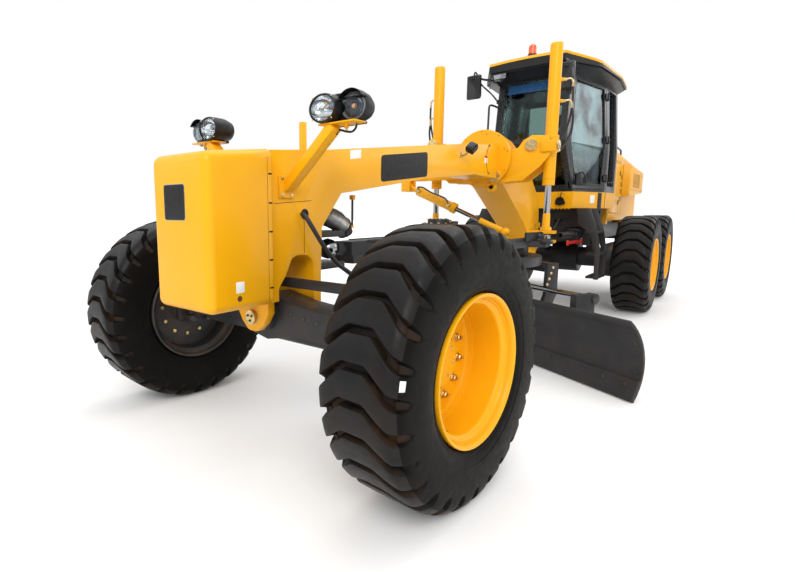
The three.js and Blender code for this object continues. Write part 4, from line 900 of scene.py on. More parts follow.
b.make("saddle_caps", [yellow_fine, brass, zinc, red_paint, painted_shade_brown, white_label], "front_frame", 32)

# work lamp on the beam
b = Build()
Rz = Matrix.Rotation(rad(-28), 3, "X") @ Matrix.Rotation(rad(-38), 3, "Y")
c = V((-2.06, 0.262, 1.905))
b.box(c, (0.062, 0.078, 0.086), rot=Rz, bev=0.010, seg=3, mat=0)
b.box(c + Rz @ V((0.031, 0, 0)), (0.006, 0.062, 0.070), rot=Rz, bev=0.003, mat=1)
for k in range(-2, 3):
    b.box(c + Rz @ V((-0.036, 0, 0.014 * k)), (0.014, 0.060, 0.004), rot=Rz, bev=0.001, mat=0)
b.sweep([(-2.055, 0.171, 1.850), (-2.055, 0.205, 1.852), (-2.057, 0.232, 1.875)], 0.010, 10, mat=2)
b.spin((-2.055, 0.170, 1.850), (0, 1, 0), [(0, 0.024), (0.008, 0.024), (0.010, 0.020)], 24, 2)
b.make("beam_lamp", [gloss_black, lens_mat, zinc], "front_frame", 35)

# ------------------------------------------------------------------ side shift and lift cylinders
def side_pt(d):
    A, E = V((-2.700, -0.745, 1.630)), V((-2.850, 0.300, 1.150))
    return A + (E - A).normalized() * d


sd = (side_pt(1) - side_pt(0)).normalized()
SL = (V((-2.850, 0.300, 1.150)) - V((-2.700, -0.745, 1.630))).length
b = Build()
b.spin((-2.728, -0.745, 1.630), (1, 0, 0), [(0, 0.040), (0.003, 0.044), (0.053, 0.044), (0.056, 0.040)], 28, 0)
b.spin((-2.7285, -0.745, 1.630), (1, 0, 0), [(0, 0.024), (0.057, 0.024)], 20, 1)
b.cyl(side_pt(0.03), side_pt(0.130), 0.026, 20, mat=0)
b.spin(side_pt(0.118), sd, [(0, 0.030), (0.004, 0.044), (0.010, 0.048), (0.410, 0.048), (0.418, 0.049), (0.422, 0.055), (0.473, 0.055), (0.477, 0.052), (0.477, 0.0315), (0.380, 0.0315)], 36, 0)
for dd in (0.16, 0.53):
    p = side_pt(dd)
    b.box(p + V((0.046, 0.0, 0.012)), (0.034, 0.036, 0.030), bev=0.004, mat=1)
    b.cyl(p + V((0.050, 0, 0.020)), p + V((0.062, -0.01, 0.052)), 0.013, 6, mat=1)
b.sweep([side_pt(0.16) + V((0.062, -0.01, 0.055)), side_pt(0.22) + V((0.066, 0, 0.075)), side_pt(0.32) + V((0.060, 0, 0.062)), side_pt(0.48) + V((0.062, 0, 0.070)), side_pt(0.53) + V((0.062, -0.01, 0.052))], 0.008, 10, mat=2)
b.make("side_shift_barrel_skin", [yellow_fine, zinc, hose_mat], "side_shift_barrel", 35, ("side_shift_barrel",))
b = Build()
b.cyl(side_pt(0.30), side_pt(SL - 0.20), 0.0228, 28, mat=0)
b.spin(side_pt(SL - 0.285), sd, [(0, 0.024), (0.004, 0.029), (0.235, 0.030), (0.245, 0.026)], 28, 1)
b.ball((-2.850, 0.300, 1.150), 0.0448, 24, mat=1)
b.spin((-2.850, 0.300, 1.150), (0, 0, -1), [(0.030, 0.028), (0.062, 0.028), (0.066, 0.040)], 24, 1)
b.make("side_shift_rod_skin", [chrome, yellow_fine], "side_shift_rod", 35, ("side_shift_rod",))

LX, LY, LZ = -3.1, 0.615, 2.04
for sn, s in SIDES:
    y = s * LY
    b = Build()
    b.spin((LX, y, 1.614), (0, 0, 1), [(0, 0.0375), (0.0, 0.054), (0.004, 0.057), (1.290, 0.057), (1.3305, 0.0565), (1.336, 0.054), (1.336, 0.004), (1.300, 0.004), (1.300, 0.0375)], 44, 0, closed=True)
    # a thin dark ring of painted shade round the barrel near its foot
    b.spin((LX, y, 1.614), (0, 0, 1), [(0.060, 0.0560), (0.060, 0.0574), (0.0615, 0.0574), (0.0615, 0.0560)], 44, 2, closed=True)
    b.spin((LX, y, 1.985), (0, 0, 1), [(0, 0.050), (0, 0.066), (0.006, 0.072), (0.104, 0.072), (0.110, 0.066), (0.110, 0.050)], 44, 0, closed=True)
    # pin stubs in the painted shade brown
    b.cyl((LX - 0.084, y, LZ), (LX - 0.056, y, LZ), 0.026, 24, mat=2)
    b.cyl((LX + 0.056, y, LZ), (LX + 0.084, y, LZ), 0.026, 24, mat=2)
    # ports on the rear side with elbows and hoses
    for z in (2.62, 2.42):
        b.spin((LX - 0.030, y + s * 0.035, z), (-0.55, s * 0.83, 0), [(0, 0.017), (0.040, 0.017), (0.044, 0.014)], 20, 0)
        p = V((LX - 0.052, y + s * 0.072, z))
        b.cyl(p, p + V((-0.012, s * 0.020, 0)), 0.0145, 6, mat=1)
        b.sweep([p + V((-0.01, s * 0.015, 0)), p + V((-0.02, s * 0.050, 0.004)), p + V((-0.028, s * 0.072, -0.018)), p + V((-0.03, s * 0.076, -0.052))], 0.0095, 12, mat=1, smooth=6)
        b.cyl(p + V((-0.03, s * 0.076, -0.045)), p + V((-0.03, s * 0.076, -0.072)), 0.0135, 6, mat=1)
    p = V((LX - 0.082, y + s * 0.148, 2.56))
    b.sweep([p, (LX - 0.086, y + s * 0.150, 2.42), (LX - 0.100, y + s * 0.135, 2.28), (LX - 0.105, y + s * 0.100, 2.14), (LX - 0.085, y + s * 0.068, 2.05)], 0.0105, 12, mat=3, smooth=6)
    p = V((LX - 0.082, y + s * 0.148, 2.36))
    b.sweep([p, (LX - 0.092, y + s * 0.162, 2.26), (LX - 0.112, y + s * 0.150, 2.14), (LX - 0.110, y + s * 0.110, 2.04), (LX - 0.080, y + s * 0.070, 1.96)], 0.0105, 12, mat=3, smooth=6)
    b.cyl((LX - 0.045, y + s * 0.02, 1.93), (LX - 0.075, y + s * 0.066, 1.96), 0.012, 10, mat=1)
    b.make(f"lift_barrel_{sn}_skin", [yellow, zinc, painted_shade_brown, hose_mat], f"lift_barrel_{sn}", 35, (f"lift_barrel_{sn}",))
    b = Build()
    b.spin((LX, y, 1.180), (0, 0, 1), [(0, 0.029), (0.002, 0.030), (1.118, 0.030), (1.12, 0.029)], 36, 0)
    b.spin((LX, y, 1.168), (0, 0, 1), [(0, 0.050), (0.003, 0.0538), (0.030, 0.0538), (0.034, 0.0362), (0.090, 0.0355), (0.150, 0.0345), (0.170, 0.031)], 36, 1)
    for k in range(6):
        a = rad(60 * k)
        b.bolt((LX + 0.043 * math.cos(a), y + 0.043 * math.sin(a), 1.2005), (0, 0, 1), 0.0062, 0.005, mat=2, washer=False)
    b.make(f"lift_rod_{sn}_skin", [chrome, yellow_fine, zinc], f"lift_rod_{sn}", 35, (f"lift_rod_{sn}",))

# ------------------------------------------------------------------ drawbar: lift balls, bracket plates, motor, bolts
soften("drawbar", charcoal, 0.005, 2, 32)
b = Build()
for s in (1, -1):
    y = s * LY
    b.spin((-3.1, y, 1.030), (0, 0, 1), [(0.0, 0.075), (0.006, 0.079), (0.030, 0.079), (0.038, 0.073), (0.046, 0.066)], 36, 0)
    for k in range(6):
        a = rad(60 * k + 15)
        b.bolt((-3.1 + 0.066 * math.cos(a), y + 0.066 * math.sin(a), 1.062), (0, 0, 1), 0.0075, 0.007, mat=1)
    # side webs of the frame
    b.box((-2.98, s * 0.520, 1.105), (0.22, 0.020, 0.090), rot=Matrix.Rotation(rad(-14 * s), 3, "Z"), bev=0.004, mat=0)
    b.box((-2.55, s * 0.470, 1.075), (0.80, 0.018, 0.050), rot=Matrix.Rotation(rad(-2 * s), 3, "Z"), bev=0.004, mat=0)
    for k in range(3):
        b.bolt((-2.93 + 0.05 * (k - 1), s * 0.440, 1.0595), (0, 0, 1), 0.010, 0.009, mat=1)
        b.bolt((-2.03 + 0.05 * (k - 1), s * 0.250, 1.1495), (0, 0, 1), 0.010, 0.009, mat=1)
b.spin((-1.985, 0, 1.230), (0, 0, 1), [(0, 0.150), (0.004, 0.155), (0.016, 0.155), (0.020, 0.150)], 40, 0)
for k in range(12):
    a = rad(30 * k)
    b.bolt((-1.985 + 0.128 * math.cos(a), 0.128 * math.sin(a), 1.2495), (0, 0, 1), 0.0095, 0.009, mat=1)
for k in range(4):
    a = rad(90 * k + 45)
    b.bolt((-1.985 + 0.072 * math.cos(a), 0.072 * math.sin(a), 1.289), (0, 0, 1), 0.009, 0.009, mat=1)
b.box((-1.985, 0.095, 1.262), (0.06, 0.05, 0.04), bev=0.005, mat=0)
for q in (-1, 1):
    b.cyl((-1.985 + q * 0.016, 0.118, 1.262), (-1.985 + q * 0.016, 0.145, 1.262), 0.011, 6, mat=1)
    b.sweep([(-1.985 + q * 0.016, 0.145, 1.262), (-1.97 + q * 0.018, 0.185, 1.262), (-1.90 + q * 0.02, 0.20, 1.245), (-1.80, 0.12 + q * 0.02, 1.205), (-1.62, 0.06 + q * 0.02, 1.168), (-1.30, 0.05 + q * 0.018, 1.164)], 0.0095, 10, mat=2, smooth=6)
# head casting: cap over the ball with its bolts, and the tube's raised edges
b.spin((-0.600, 0, 1.098), (-1, 0, 0), [(-0.002, 0.044), (0.004, 0.050), (0.022, 0.052), (0.060, 0.051), (0.080, 0.048)], 36, 0)
for k in range(8):
    a = rad(45 * k + 22)
    b.bolt((-0.598, 0.041 * math.cos(a), 1.098 + 0.041 * math.sin(a)), (1, 0, 0), 0.0075, 0.006, mat=1)
b.box((-1.22, 0.086, 1.150), (0.90, 0.012, 0.014), bev=0.004, mat=0)
b.box((-1.22, -0.086, 1.150), (0.90, 0.012, 0.014), bev=0.004, mat=0)
b.make("drawbar_fittings", [charcoal_fine, zinc, hose_mat], "drawbar", 35)

# ------------------------------------------------------------------ front axle, lean brackets, knuckles, lean bar, tie rod
soften("front_axle", charcoal, 0.006, 2, 32)
b = Build()
for s in (1, -1):
    b.spin((-0.185, s * 0.3295, 0.560), (0, s, 0), [(-0.045, 0.058), (-0.042, 0.065), (-0.004, 0.065), (0.0, 0.060), (0.0, 0.030)], 32, 0)
    for k in range(4):
        a = rad(90 * k + 45)
        b.bolt((-0.185 + 0.048 * math.cos(a), s * 0.3295, 0.560 + 0.048 * math.sin(a)), (0, s, 0), 0.0065, 0.006, mat=1, washer=False)
    b.cyl((-0.185, s * 0.300, 0.615), (-0.185, s * 0.300, 0.640), 0.013, 6, mat=1)
    b.cyl((0.1305, s * 0.745, 0.700), (0.137, s * 0.745, 0.700), 0.020, 24, mat=1)
    b.spin((0.1295, s * 0.63, 0.700), (1, 0, 0), [(0, 0.042), (0.006, 0.042), (0.010, 0.037)], 28, 0)
    for k in range(3):
        b.bolt((0.1295, s * (0.20 + 0.10 * k), 0.778 - 0.012 * k), (1, 0, 0), 0.010, 0.008, mat=1)
b.sweep([(-0.185, 0.300, 0.640), (-0.185, 0.300, 0.675), (-0.20, 0.27, 0.70), (-0.20, 0.15, 0.705), (-0.17, 0.05, 0.66)], 0.010, 10, mat=2, smooth=6)
b.sweep([(-0.185, -0.300, 0.640), (-0.185, -0.300, 0.675), (-0.20, -0.27, 0.70), (-0.20, -0.15, 0.705), (-0.17, -0.05, 0.66)], 0.010, 10, mat=2, smooth=6)
b.make("axle_fittings", [charcoal_fine, dark_bolt, hose_mat], "front_axle", 35)
for sn, s in SIDES:
    soften(f"lean_bracket_{sn}", charcoal, 0.005, 2, 32)
    soften(f"knuckle_{sn}", charcoal, 0.005, 2, 32)
b = Build()
b.box((0.048, 0, 0.945), (0.026, 1.40, 0.058), bev=0.006, mat=0)
for s in (1, -1):
    b.spin((0.0345, s * 0.715, 0.945), (1, 0, 0), [(0, 0.030), (0.026, 0.030), (0.0275, 0.028)], 28, 0)
    b.bolt((0.061, s * 0.715, 0.945), (1, 0, 0), 0.016, 0.010, mat=1)
b.make("lean_bar_skin", [charcoal, zinc], "lean_bar", 35, ("lean_bar",))

# ------------------------------------------------------------------ circle, carrier and moldboard
CC = Matrix.Translation((-2.650, 0, 0)) @ Matrix.Rotation(rad(-29.4), 4, "Z")
soften("circle", charcoal, 0.004, 2, 32)
soften("blade_carrier", charcoal, 0.005, 2, 32)
soften("moldboard", blade_mat, 0.003, 2, 32)
# circle: toothed inner ring and bolted arms
b = Build()
nt_ = 60
for k in range(nt_):
    a = 2 * math.pi * k / nt_
    d = V((math.cos(a), math.sin(a), 0))
    t = V((-math.sin(a), math.cos(a), 0))
    pts = [d * 0.5855 + t * 0.017, d * 0.5855 - t * 0.017, d * 0.560 - t * 0.008, d * 0.560 + t * 0.008]
    b.prism([(p.x, p.y) for p in pts], 0.856, 0.926, "z", mat=0)
for s in (1, -1):
    for k in range(4):
        b.bolt((-0.600 + 0.02 * k, s * 0.5355, 0.82 - 0.055 * k), (0, s, 0), 0.0105, 0.009, mat=1)
    b.spin((-0.362, s * 0.5345, 0.220), (0, s, 0), [(0, 0.056), (0.008, 0.056), (0.012, 0.050)], 36, 0)
    b.bolt((-0.362, s * 0.545, 0.220), (0, s, 0), 0.022, 0.014, mat=1)
    b.spin((-0.360, s * 0.4945, 0.220), (0, -s, 0), [(0, 0.060), (0.006, 0.060)], 36, 0)
placed(b, CC)
b.make("circle_teeth", [charcoal_fine, zinc], "circle", 35)
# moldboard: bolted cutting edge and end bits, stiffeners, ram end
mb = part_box("moldboard")
b = Build()
Y0, Y1 = -0.165 - 1.98, -0.165 + 1.98


def blade_pt(t, off):
    a = -0.62 + 1.54 * t
    return (-(0.430 + off) * math.cos(a), (0.430 + off) * math.sin(a))


_eL, _eF = blade_pt(0, 0.022), blade_pt(0, 0)
_BX, _BZ = -0.105 - _eF[0], -min(_eL[1], _eF[1])
_kz = 0.610 / (max(blade_pt(1, 0)[1], blade_pt(1, 0.022)[1]) + _BZ)


def blade_at(t, off, y):
    x, z = blade_pt(t, off)
    return V((x + _BX, y, (z + _BZ) * _kz))


def blade_n(t):
    a = -0.62 + 1.54 * t
    return V((math.cos(a), 0, -math.sin(a)))


n = 22
for k in range(n):
    y = Y0 + 0.09 + (Y1 - Y0 - 0.18) * k / (n - 1)
    for t in (0.17,):
        p = blade_at(t, -0.0175, y)
        b.spin(p, blade_n(t), [(0, 0.0155), (0.004, 0.0145), (0.0065, 0.009)], 16, 1)
        p = blade_at(t, 0.0225, y)
        b.bolt(p, -blade_n(t), 0.013, 0.013, mat=1)
for ye, s in ((Y0, 1), (Y1, -1)):
    f = []
    for i in range(15):
        f.append(blade_at(i / 14, -0.0045, ye + s * 0.0))
    for i in range(4):
        y = ye + s * 0.045
        t = 0.34 + 0.16 * i
        b.spin(blade_at(t, -0.0005, y), blade_n(t), [(0, 0.0125), (0.0035, 0.0115), (0.0055, 0.007)], 16, 1)
        b.bolt(blade_at(t, 0.0225, y), -blade_n(t), 0.0105, 0.010, mat=1)
    b.spin(blade_at(0.10, -0.0175, ye + s * 0.045), blade_n(0.10), [(0, 0.0125), (0.0035, 0.0115), (0.0055, 0.007)], 16, 1)
# vertical stiffeners on the back
for y in (-1.55, -1.05, 0.35, 0.95, 1.45):
    vs = []
    m_ = 10
    for i in range(m_ + 1):
        t = 0.30 + 0.62 * i / m_
        for dy in (-0.006, 0.006):
            for off in (0.0215, 0.0215 + 0.030 * math.sin(math.pi * i / m_) + 0.004):
                vs.append(blade_at(t, off, y + dy))
    fs = []
    for i in range(m_):
        q = i * 4
        for a_, b_ in ((0, 1), (1, 3), (3, 2), (2, 0)):
            fs.append((q + a_, q + b_, q + 4 + b_, q + 4 + a_))
    fs.append((0, 1, 3, 2)); e = m_ * 4; fs.append((e, e + 2, e + 3, e + 1))
    b.put(vs, fs, 0)
b.spin((-0.330, 1.2655, 0.650), (0, 1, 0), [(-0.001, 0.040), (0.006, 0.040), (0.009, 0.034)], 28, 1)
placed(b, CC)
b.make("blade_bolts", [charcoal_fine, dark_bolt], "moldboard", 35)
b = Build()
b.cyl((-0.330, -0.355, 0.650), (-0.330, 1.195, 0.650), 0.0246, 24, mat=0)
placed(b, CC)
b.make("blade_ram_rod", [chrome], "moldboard", 35)
b = Build()
for k in range(2):
    y = -1.055 if k == 0 else 0.262
    b.spin((-0.330, y, 0.650), (0, 1, 0), [(0, 0.0505), (0.002, 0.056), (0.034, 0.056), (0.036, 0.0505)], 32, 0)
for s in (1, -1):
    for k in range(4):
        b.bolt((-0.372, s * 0.4805, 0.34 + 0.06 * k), (0, s, 0), 0.0105, 0.009, mat=1)
for y in (-0.95, 0.16):
    b.cyl((-0.330, y, 0.698), (-0.330, y, 0.722), 0.014, 6, mat=1)
b.sweep([(-0.330, 0.16, 0.715), (-0.335, 0.14, 0.745), (-0.36, 0.06, 0.752), (-0.40, -0.08, 0.742), (-0.42, -0.26, 0.71), (-0.42, -0.36, 0.63)], 0.0105, 10, mat=2, smooth=6)
b.sweep([(-0.330, -0.95, 0.715), (-0.335, -0.93, 0.745), (-0.36, -0.80, 0.750), (-0.40, -0.62, 0.735), (-0.42, -0.46, 0.68), (-0.42, -0.40, 0.61)], 0.0105, 10, mat=2, smooth=6)
placed(b, CC)
b.make("carrier_fittings", [charcoal_fine, zinc, hose_mat], "blade_carrier", 35)

# ------------------------------------------------------------------ cab
ZS_, ZW_, ZR_ = 1.625, 2.200, 3.060


def xf(z):
    if z <= ZS_:
        return -4.800
    if z <= ZW_:
        return -4.800 + (z - ZS_) / (ZW_ - ZS_) * 0.530
    return -4.270 - (z - ZW_) / (ZR_ - ZW_) * 0.130


def side_y(x, z, off=0.0):
    """Half width of the cab's outer wall."""
    top = max(0.0, (z - ZW_) / (ZR_ - ZW_))
    yb, yc = 0.665 - 0.065 * top, 0.685 - 0.060 * top
    if x > -5.48:
        f = (x - xf(z)) / (-5.48 - xf(z))
        return 0.43 + (yb - 0.43) * min(1.0, max(0.0, f)) + off
    return yb + (yc - yb) * min(1.0, (-5.48 - x) / 0.52) + off


frame_skin = soften("cab_frame", cabgrey, 0.006, 3, 28)
for sn, s in SIDES:
    soften(f"cab_door_{sn}", cabgrey, 0.005, 3, 28)

# yellow skirt round the cab floor
b = Build()
o = 0.0065
ring = [(-4.800 + o, 0.43 + o * 0.6), (-5.48, 0.665 + o), (-6.000, 0.685 + o)]
ring = ring + [(x, -y) for x, y in ring[::-1]]
ringi = [(-4.800, 0.43), (-5.48, 0.665), (-5.995, 0.685)]
ringi = ringi + [(x, -y) for x, y in ringi[::-1]]
for i in range(6):
    j = (i + 1) % 6
    A0, B0, A1, B1 = ring[i], ring[j], ringi[i], ringi[j]
    d = (V((B0[0], B0[1], 0)) - V((A0[0], A0[1], 0))).normalized() * 0.001
    bm = bmesh.new()
    vv = [bm.verts.new(p) for p in ((A0[0], A0[1], 1.402), (B0[0], B0[1], 1.402), (B0[0], B0[1], 1.614), (A0[0], A0[1], 1.614),
                                    (A1[0], A1[1], 1.402), (B1[0], B1[1], 1.402), (B1[0], B1[1], 1.614), (A1[0], A1[1], 1.614))]
    for f in ((0, 1, 2, 3), (5, 4, 7, 6), (1, 5, 6, 2), (4, 0, 3, 7), (3, 2, 6, 7), (4, 5, 1, 0)):
        bm.faces.new([vv[q] for q in f])
    bmesh.ops.recalc_face_normals(bm, faces=bm.faces)
    b.take(bm, 0)
# studs; panel gaps drawn as dark lines of painted shade
for s in (1, -1):
    for x in (-4.95, -5.15, -5.35, -5.62, -5.85):
        y = side_y(x, 1.6, o)
        b.spin((x, s * y, 1.590), (0, s, 0), [(0, 0.0075), (0.002, 0.007), (0.003, 0.003)], 12, 1)
    b.box((-5.48, s * 0.673, 1.508), (0.004, 0.004, 0.21), mat=2)
for y in (-0.32, -0.18, 0.18, 0.32):
    b.spin((-4.7935, y, 1.590), (1, 0, 0), [(0, 0.0075), (0.002, 0.007), (0.003, 0.003)], 12, 1)
b.box((-4.7930, 0.255, 1.550), (0.002, 0.003, 0.11), mat=2)
# lower lip with drain slots
for k in range(7):
    b.box((-4.812, 0.12 + 0.045 * k, 1.394), (0.020, 0.022, 0.014), bev=0.003, mat=0)
b.make("cab_skirt", [yellow_fine, zinc, painted_shade_brown], "rear_frame", 30)

b = Build()  # horn lamp, blank label, slotted plate
b.spin((-4.7945, 0.292, 1.490), (1, 0, 0), [(0, 0.040), (0.030, 0.052), (0.050, 0.056), (0.056, 0.050), (0.050, 0.020)], 28, 0)
b.box((-4.770, 0.292, 1.470), (0.05, 0.115, 0.05), bev=0.012, seg=3, mat=0)
b.sweep([(-4.785, 0.292, 1.535), (-4.77, 0.292, 1.57), (-4.785, 0.30, 1.60)], 0.006, 8, mat=0)
y = side_y(-5.22, 1.5, 0.0078)
Rz = Matrix.Rotation(math.atan2(0.665 - 0.43, -0.68) , 3, "Z")
b.box((-5.20, side_y(-5.20, 1.5, 0.0075), 1.520), (0.10, 0.0025, 0.105), rot=Matrix.Rotation(-math.atan2(0.235, 0.68), 3, "Z"), mat=1)
b.box((-5.36, side_y(-5.36, 1.5, 0.009), 1.490), (0.085, 0.006, 0.235), rot=Matrix.Rotation(-math.atan2(0.235, 0.68), 3, "Z"), bev=0.002, mat=2)
for k in range(9):
    b.box((-5.36, side_y(-5.36, 1.5, 0.0135), 1.395 + 0.024 * k), (0.060, 0.003, 0.010), rot=Matrix.Rotation(-math.atan2(0.235, 0.68), 3, "Z"), mat=0)
b.make("cab_horn", [gloss_black, white_label, charcoal_fine], "rear_frame", 32)

# roof: yellow cap over a black underside
roof = soften("cab_roof", yellow, 0.006, 3, 30)
roof.data.materials.append(black_plastic)
roof.data.materials.append(orange)
for p in roof.data.polygons:
    c = p.center
    if c.z > 3.1765 and (c.x + 4.175) ** 2 + (c.y - 0.03) ** 2 < 0.0036:
        p.material_index = 2 if c.z > 3.216 else 1
    elif p.normal.z < -0.5:
        p.material_index = 1
b = Build()
# black ceiling under the visor: tapers to the windscreen
RP = [(-4.085, 0.425), (-4.630, 0.678), (-5.450, 0.748), (-6.055, 0.700)]
outl = RP + [(x, -y) for x, y in RP[::-1]]
inn = [(-4.36, 0.40), (-4.66, 0.470), (-5.45, 0.612), (-5.99, 0.632)]
inl = inn + [(x, -y) for x, y in inn[::-1]]
bm = bmesh.new()
top = [bm.verts.new((x, y, 3.0605)) for x, y in outl]
mid = [bm.verts.new((x * 1.0, y, 3.038)) for x, y in outl]
low = [bm.verts.new((x, y, 2.985)) for x, y in inl]
k8 = len(outl)
bm.faces.new(top); bm.faces.new(low[::-1])
for i in range(k8):
    j = (i + 1) % k8
    bm.faces.new((top[i], mid[i], mid[j], top[j]))
    bm.faces.new((mid[i], low[i], low[j], mid[j]))
bmesh.ops.recalc_face_normals(bm, faces=bm.faces)
b.take(bm, 0)
# work lights under the visor
for y in (-0.325, 0.372):
    c = V((-4.135, y, 3.020))
    b.box(c, (0.075, 0.165, 0.092), bev=0.010, seg=3, mat=0)
    b.box(c + V((0.038, 0, 0)), (0.006, 0.150, 0.078), bev=0.002, mat=1)
    b.box(c + V((0.0405, 0, 0)), (0.004, 0.138, 0.066), bev=0.0015, mat=2)
# roof posts (antenna bases)
for x, y in ((-4.62, 0.42), (-4.62, -0.50)):
    z = 3.128 if y > 0 else 3.12
    b.cyl((x, y, z), (x, y, z + 0.030), 0.012, 14, mat=3)
    b.sweep([(x, y, z + 0.028), (x - 0.004, y, z + 0.055), (x + 0.010, y, z + 0.070), (x + 0.020, y, z + 0.058)], 0.005, 8, mat=3)
b.make("roof_under", [black_plastic, chrome, lens_mat, zinc], "rear_frame", 30)

# painted shade: a dark band round the lower part of the roof's rim stands in for the shade there; only a thin yellow
# edge stays
def roof_z(y):
    pts_ = [(0, 3.175), (0.2, 3.172), (0.43, 3.160), (0.65, 3.132), (0.76, 3.100), (0.80, 3.075)]
    y = abs(y)
    for (y0_, z0_), (y1_, z1_) in zip(pts_, pts_[1:]):
        if y <= y1_:
            return z0_ + (z1_ - z0_) * (y - y0_) / (y1_ - y0_)
    return 3.075


b = Build()
RO = [(-4.060, 0.440), (-4.620, 0.700), (-5.450, 0.770), (-6.080, 0.720)]
RO = RO + [(x, -y) for x, y in RO[::-1]]
cen = V((-5.1, 0))
path = []
for i in range(len(RO)):
    p, q = V(RO[i]), V(RO[(i + 1) % len(RO)])
    for k in range(8):
        path.append(p + (q - p) * k / 8)
vs, fs = [], []
n_ = len(path)
for i, p in enumerate(path):
    pr, nx = path[i - 1], path[(i + 1) % n_]
    t_ = (nx - pr).normalized()
    nn = V((t_.y, -t_.x))
    if nn.dot(p - cen) < 0:
        nn = -nn
    zt_ = max(3.066, roof_z(p.y) - 0.030)
    for off_, z_ in ((0.003, 3.052), (0.003, zt_), (-0.004, zt_ + 0.001), (-0.014, 3.052)):
        vs.append((p.x + nn.x * off_, p.y + nn.y * off_, z_))
for i in range(n_):
    j = (i + 1) % n_
    for k in range(4):
        fs.append((i * 4 + k, i * 4 + (k + 1) % 4, j * 4 + (k + 1) % 4, j * 4 + k))
b.put(vs, fs, 0)
b.make("roof_rim_painted_shade", [black_plastic], "rear_frame", 35)

# seat: crowned cushion, back and headrest with piping, on a boxed base
def crowned(bld, c, size, rot, crown, pinch=0.10, n=26, mat=0, e=0.34):
    """Closed pad: rounded outline, swollen faces, sides drawn in between the corners."""
    bm_ = bmesh.new()
    bmesh.ops.create_cube(bm_, size=2.0)
    bmesh.ops.subdivide_edges(bm_, edges=bm_.edges[:], cuts=n // 2, use_grid_fill=True)
    for v in bm_.verts:
        x, y, z = v.co
        k = (abs(x) ** (2 / e) + abs(y) ** (2 / e) + abs(z) ** (2 / e)) ** (e / 2)
        x, y, z = x / k, y / k, z / k
        x *= 1 - pinch * (1 - y * y) * abs(x) ** 3 * 0.5
        y *= 1 - pinch * (1 - x * x) * abs(y) ** 3 * 0.5
        z += math.copysign(crown * (1 - x ** 4) * (1 - y ** 4), z) if abs(z) > 0.4 else 0
        seam = math.exp(-((abs(y) - 0.42) / 0.035) ** 2) * 0.09 + math.exp(-((abs(z) - 0.60) / 0.05) ** 2) * 0.015
        if z > 0.3:
            z -= seam * (1 - x ** 6)
        v.co = (x * size[0] / 2, y * size[1] / 2, z * size[2] / 2)
    bmesh.ops.transform(bm_, matrix=Matrix.Translation(V(c)) @ rot.to_4x4(), verts=bm_.verts)
    return bld.take(bm_, mat)


b = Build()
crowned(b, (-5.400, 0, 1.918), (0.470, 0.455, 0.105), Matrix.Rotation(rad(-2), 3, "Y"), 0.16)
o = b.make("seat_cushion", seat_mat, "rear_frame", 60, ("seat",))
b = Build()
crowned(b, (-5.668, 0, 2.235), (0.600, 0.430, 0.095), Matrix.Rotation(rad(-86), 3, "Y"), 0.16)
o = b.make("seat_back", seat_mat, "rear_frame", 60)
b = Build()
crowned(b, (-5.675, 0, 2.655), (0.190, 0.250, 0.080), Matrix.Rotation(rad(-86), 3, "Y"), 0.20)
o = b.make("seat_headrest", seat_mat, "rear_frame", 60)
b = Build()
for y in (-0.05, 0.05):
    b.cyl((-5.682, y, 2.50), (-5.678, y, 2.60), 0.006, 10, mat=1)
b.box((-5.410, 0, 1.685), (0.290, 0.310, 0.355), bev=0.02, seg=3, mat=0)
b.box((-5.410, 0, 1.852), (0.400, 0.380, 0.024), bev=0.006, mat=0)
for k in range(6):
    b.box((-5.410, 0, 1.56 + 0.045 * k), (0.300, 0.320, 0.012), bev=0.004, mat=2)
b.make("seat_base", [black_plastic, chrome, hose_mat], "rear_frame", 35)

# windscreen furniture: sun strip, wiper, grab loop, cross rail
b = Build()
zt, zb_ = 2.955, 2.845
b.put([(xf(zt) - 0.067, -0.34, zt), (xf(zt) - 0.067, 0.34, zt), (xf(zb_) - 0.067, 0.34, zb_), (xf(zb_) - 0.067, -0.34, zb_),
       (xf(zt) - 0.0685, -0.34, zt), (xf(zt) - 0.0685, 0.34, zt), (xf(zb_) - 0.0685, 0.34, zb_), (xf(zb_) - 0.0685, -0.34, zb_)],
      [(0, 1, 2, 3), (7, 6, 5, 4), (0, 4, 5, 1), (3, 2, 6, 7), (0, 3, 7, 4), (1, 5, 6, 2)], 0)
b.make("blank_sun_strip", [blue_strip], "rear_frame", 30)
b = Build()
wx = xf(2.9) - 0.030
b.box((xf(2.96) + 0.012, 0.262, 2.955), (0.050, 0.075, 0.055), bev=0.010, seg=3, mat=0)
b.sweep([(xf(2.95) + 0.020, 0.262, 2.950), (xf(2.80) + 0.004, 0.262, 2.80), (xf(2.70) - 0.010, 0.268, 2.690), (xf(2.66) - 0.030, 0.270, 2.665)], 0.0065, 8, mat=0, smooth=5)
b.box((xf(2.64) - 0.036, 0.275, 2.665), (0.024, 0.060, 0.020), bev=0.004, mat=0)
b.sweep([(xf(2.86) - 0.052, 0.30, 2.86), (xf(2.66) - 0.050, 0.285, 2.66), (xf(2.38) - 0.052, 0.272, 2.38)], 0.0085, 8, mat=0, smooth=4)
b.sweep([(xf(2.665) - 0.034, 0.275, 2.668), (xf(2.72) - 0.040, 0.34, 2.715)], 0.004, 6, mat=0, smooth=1)
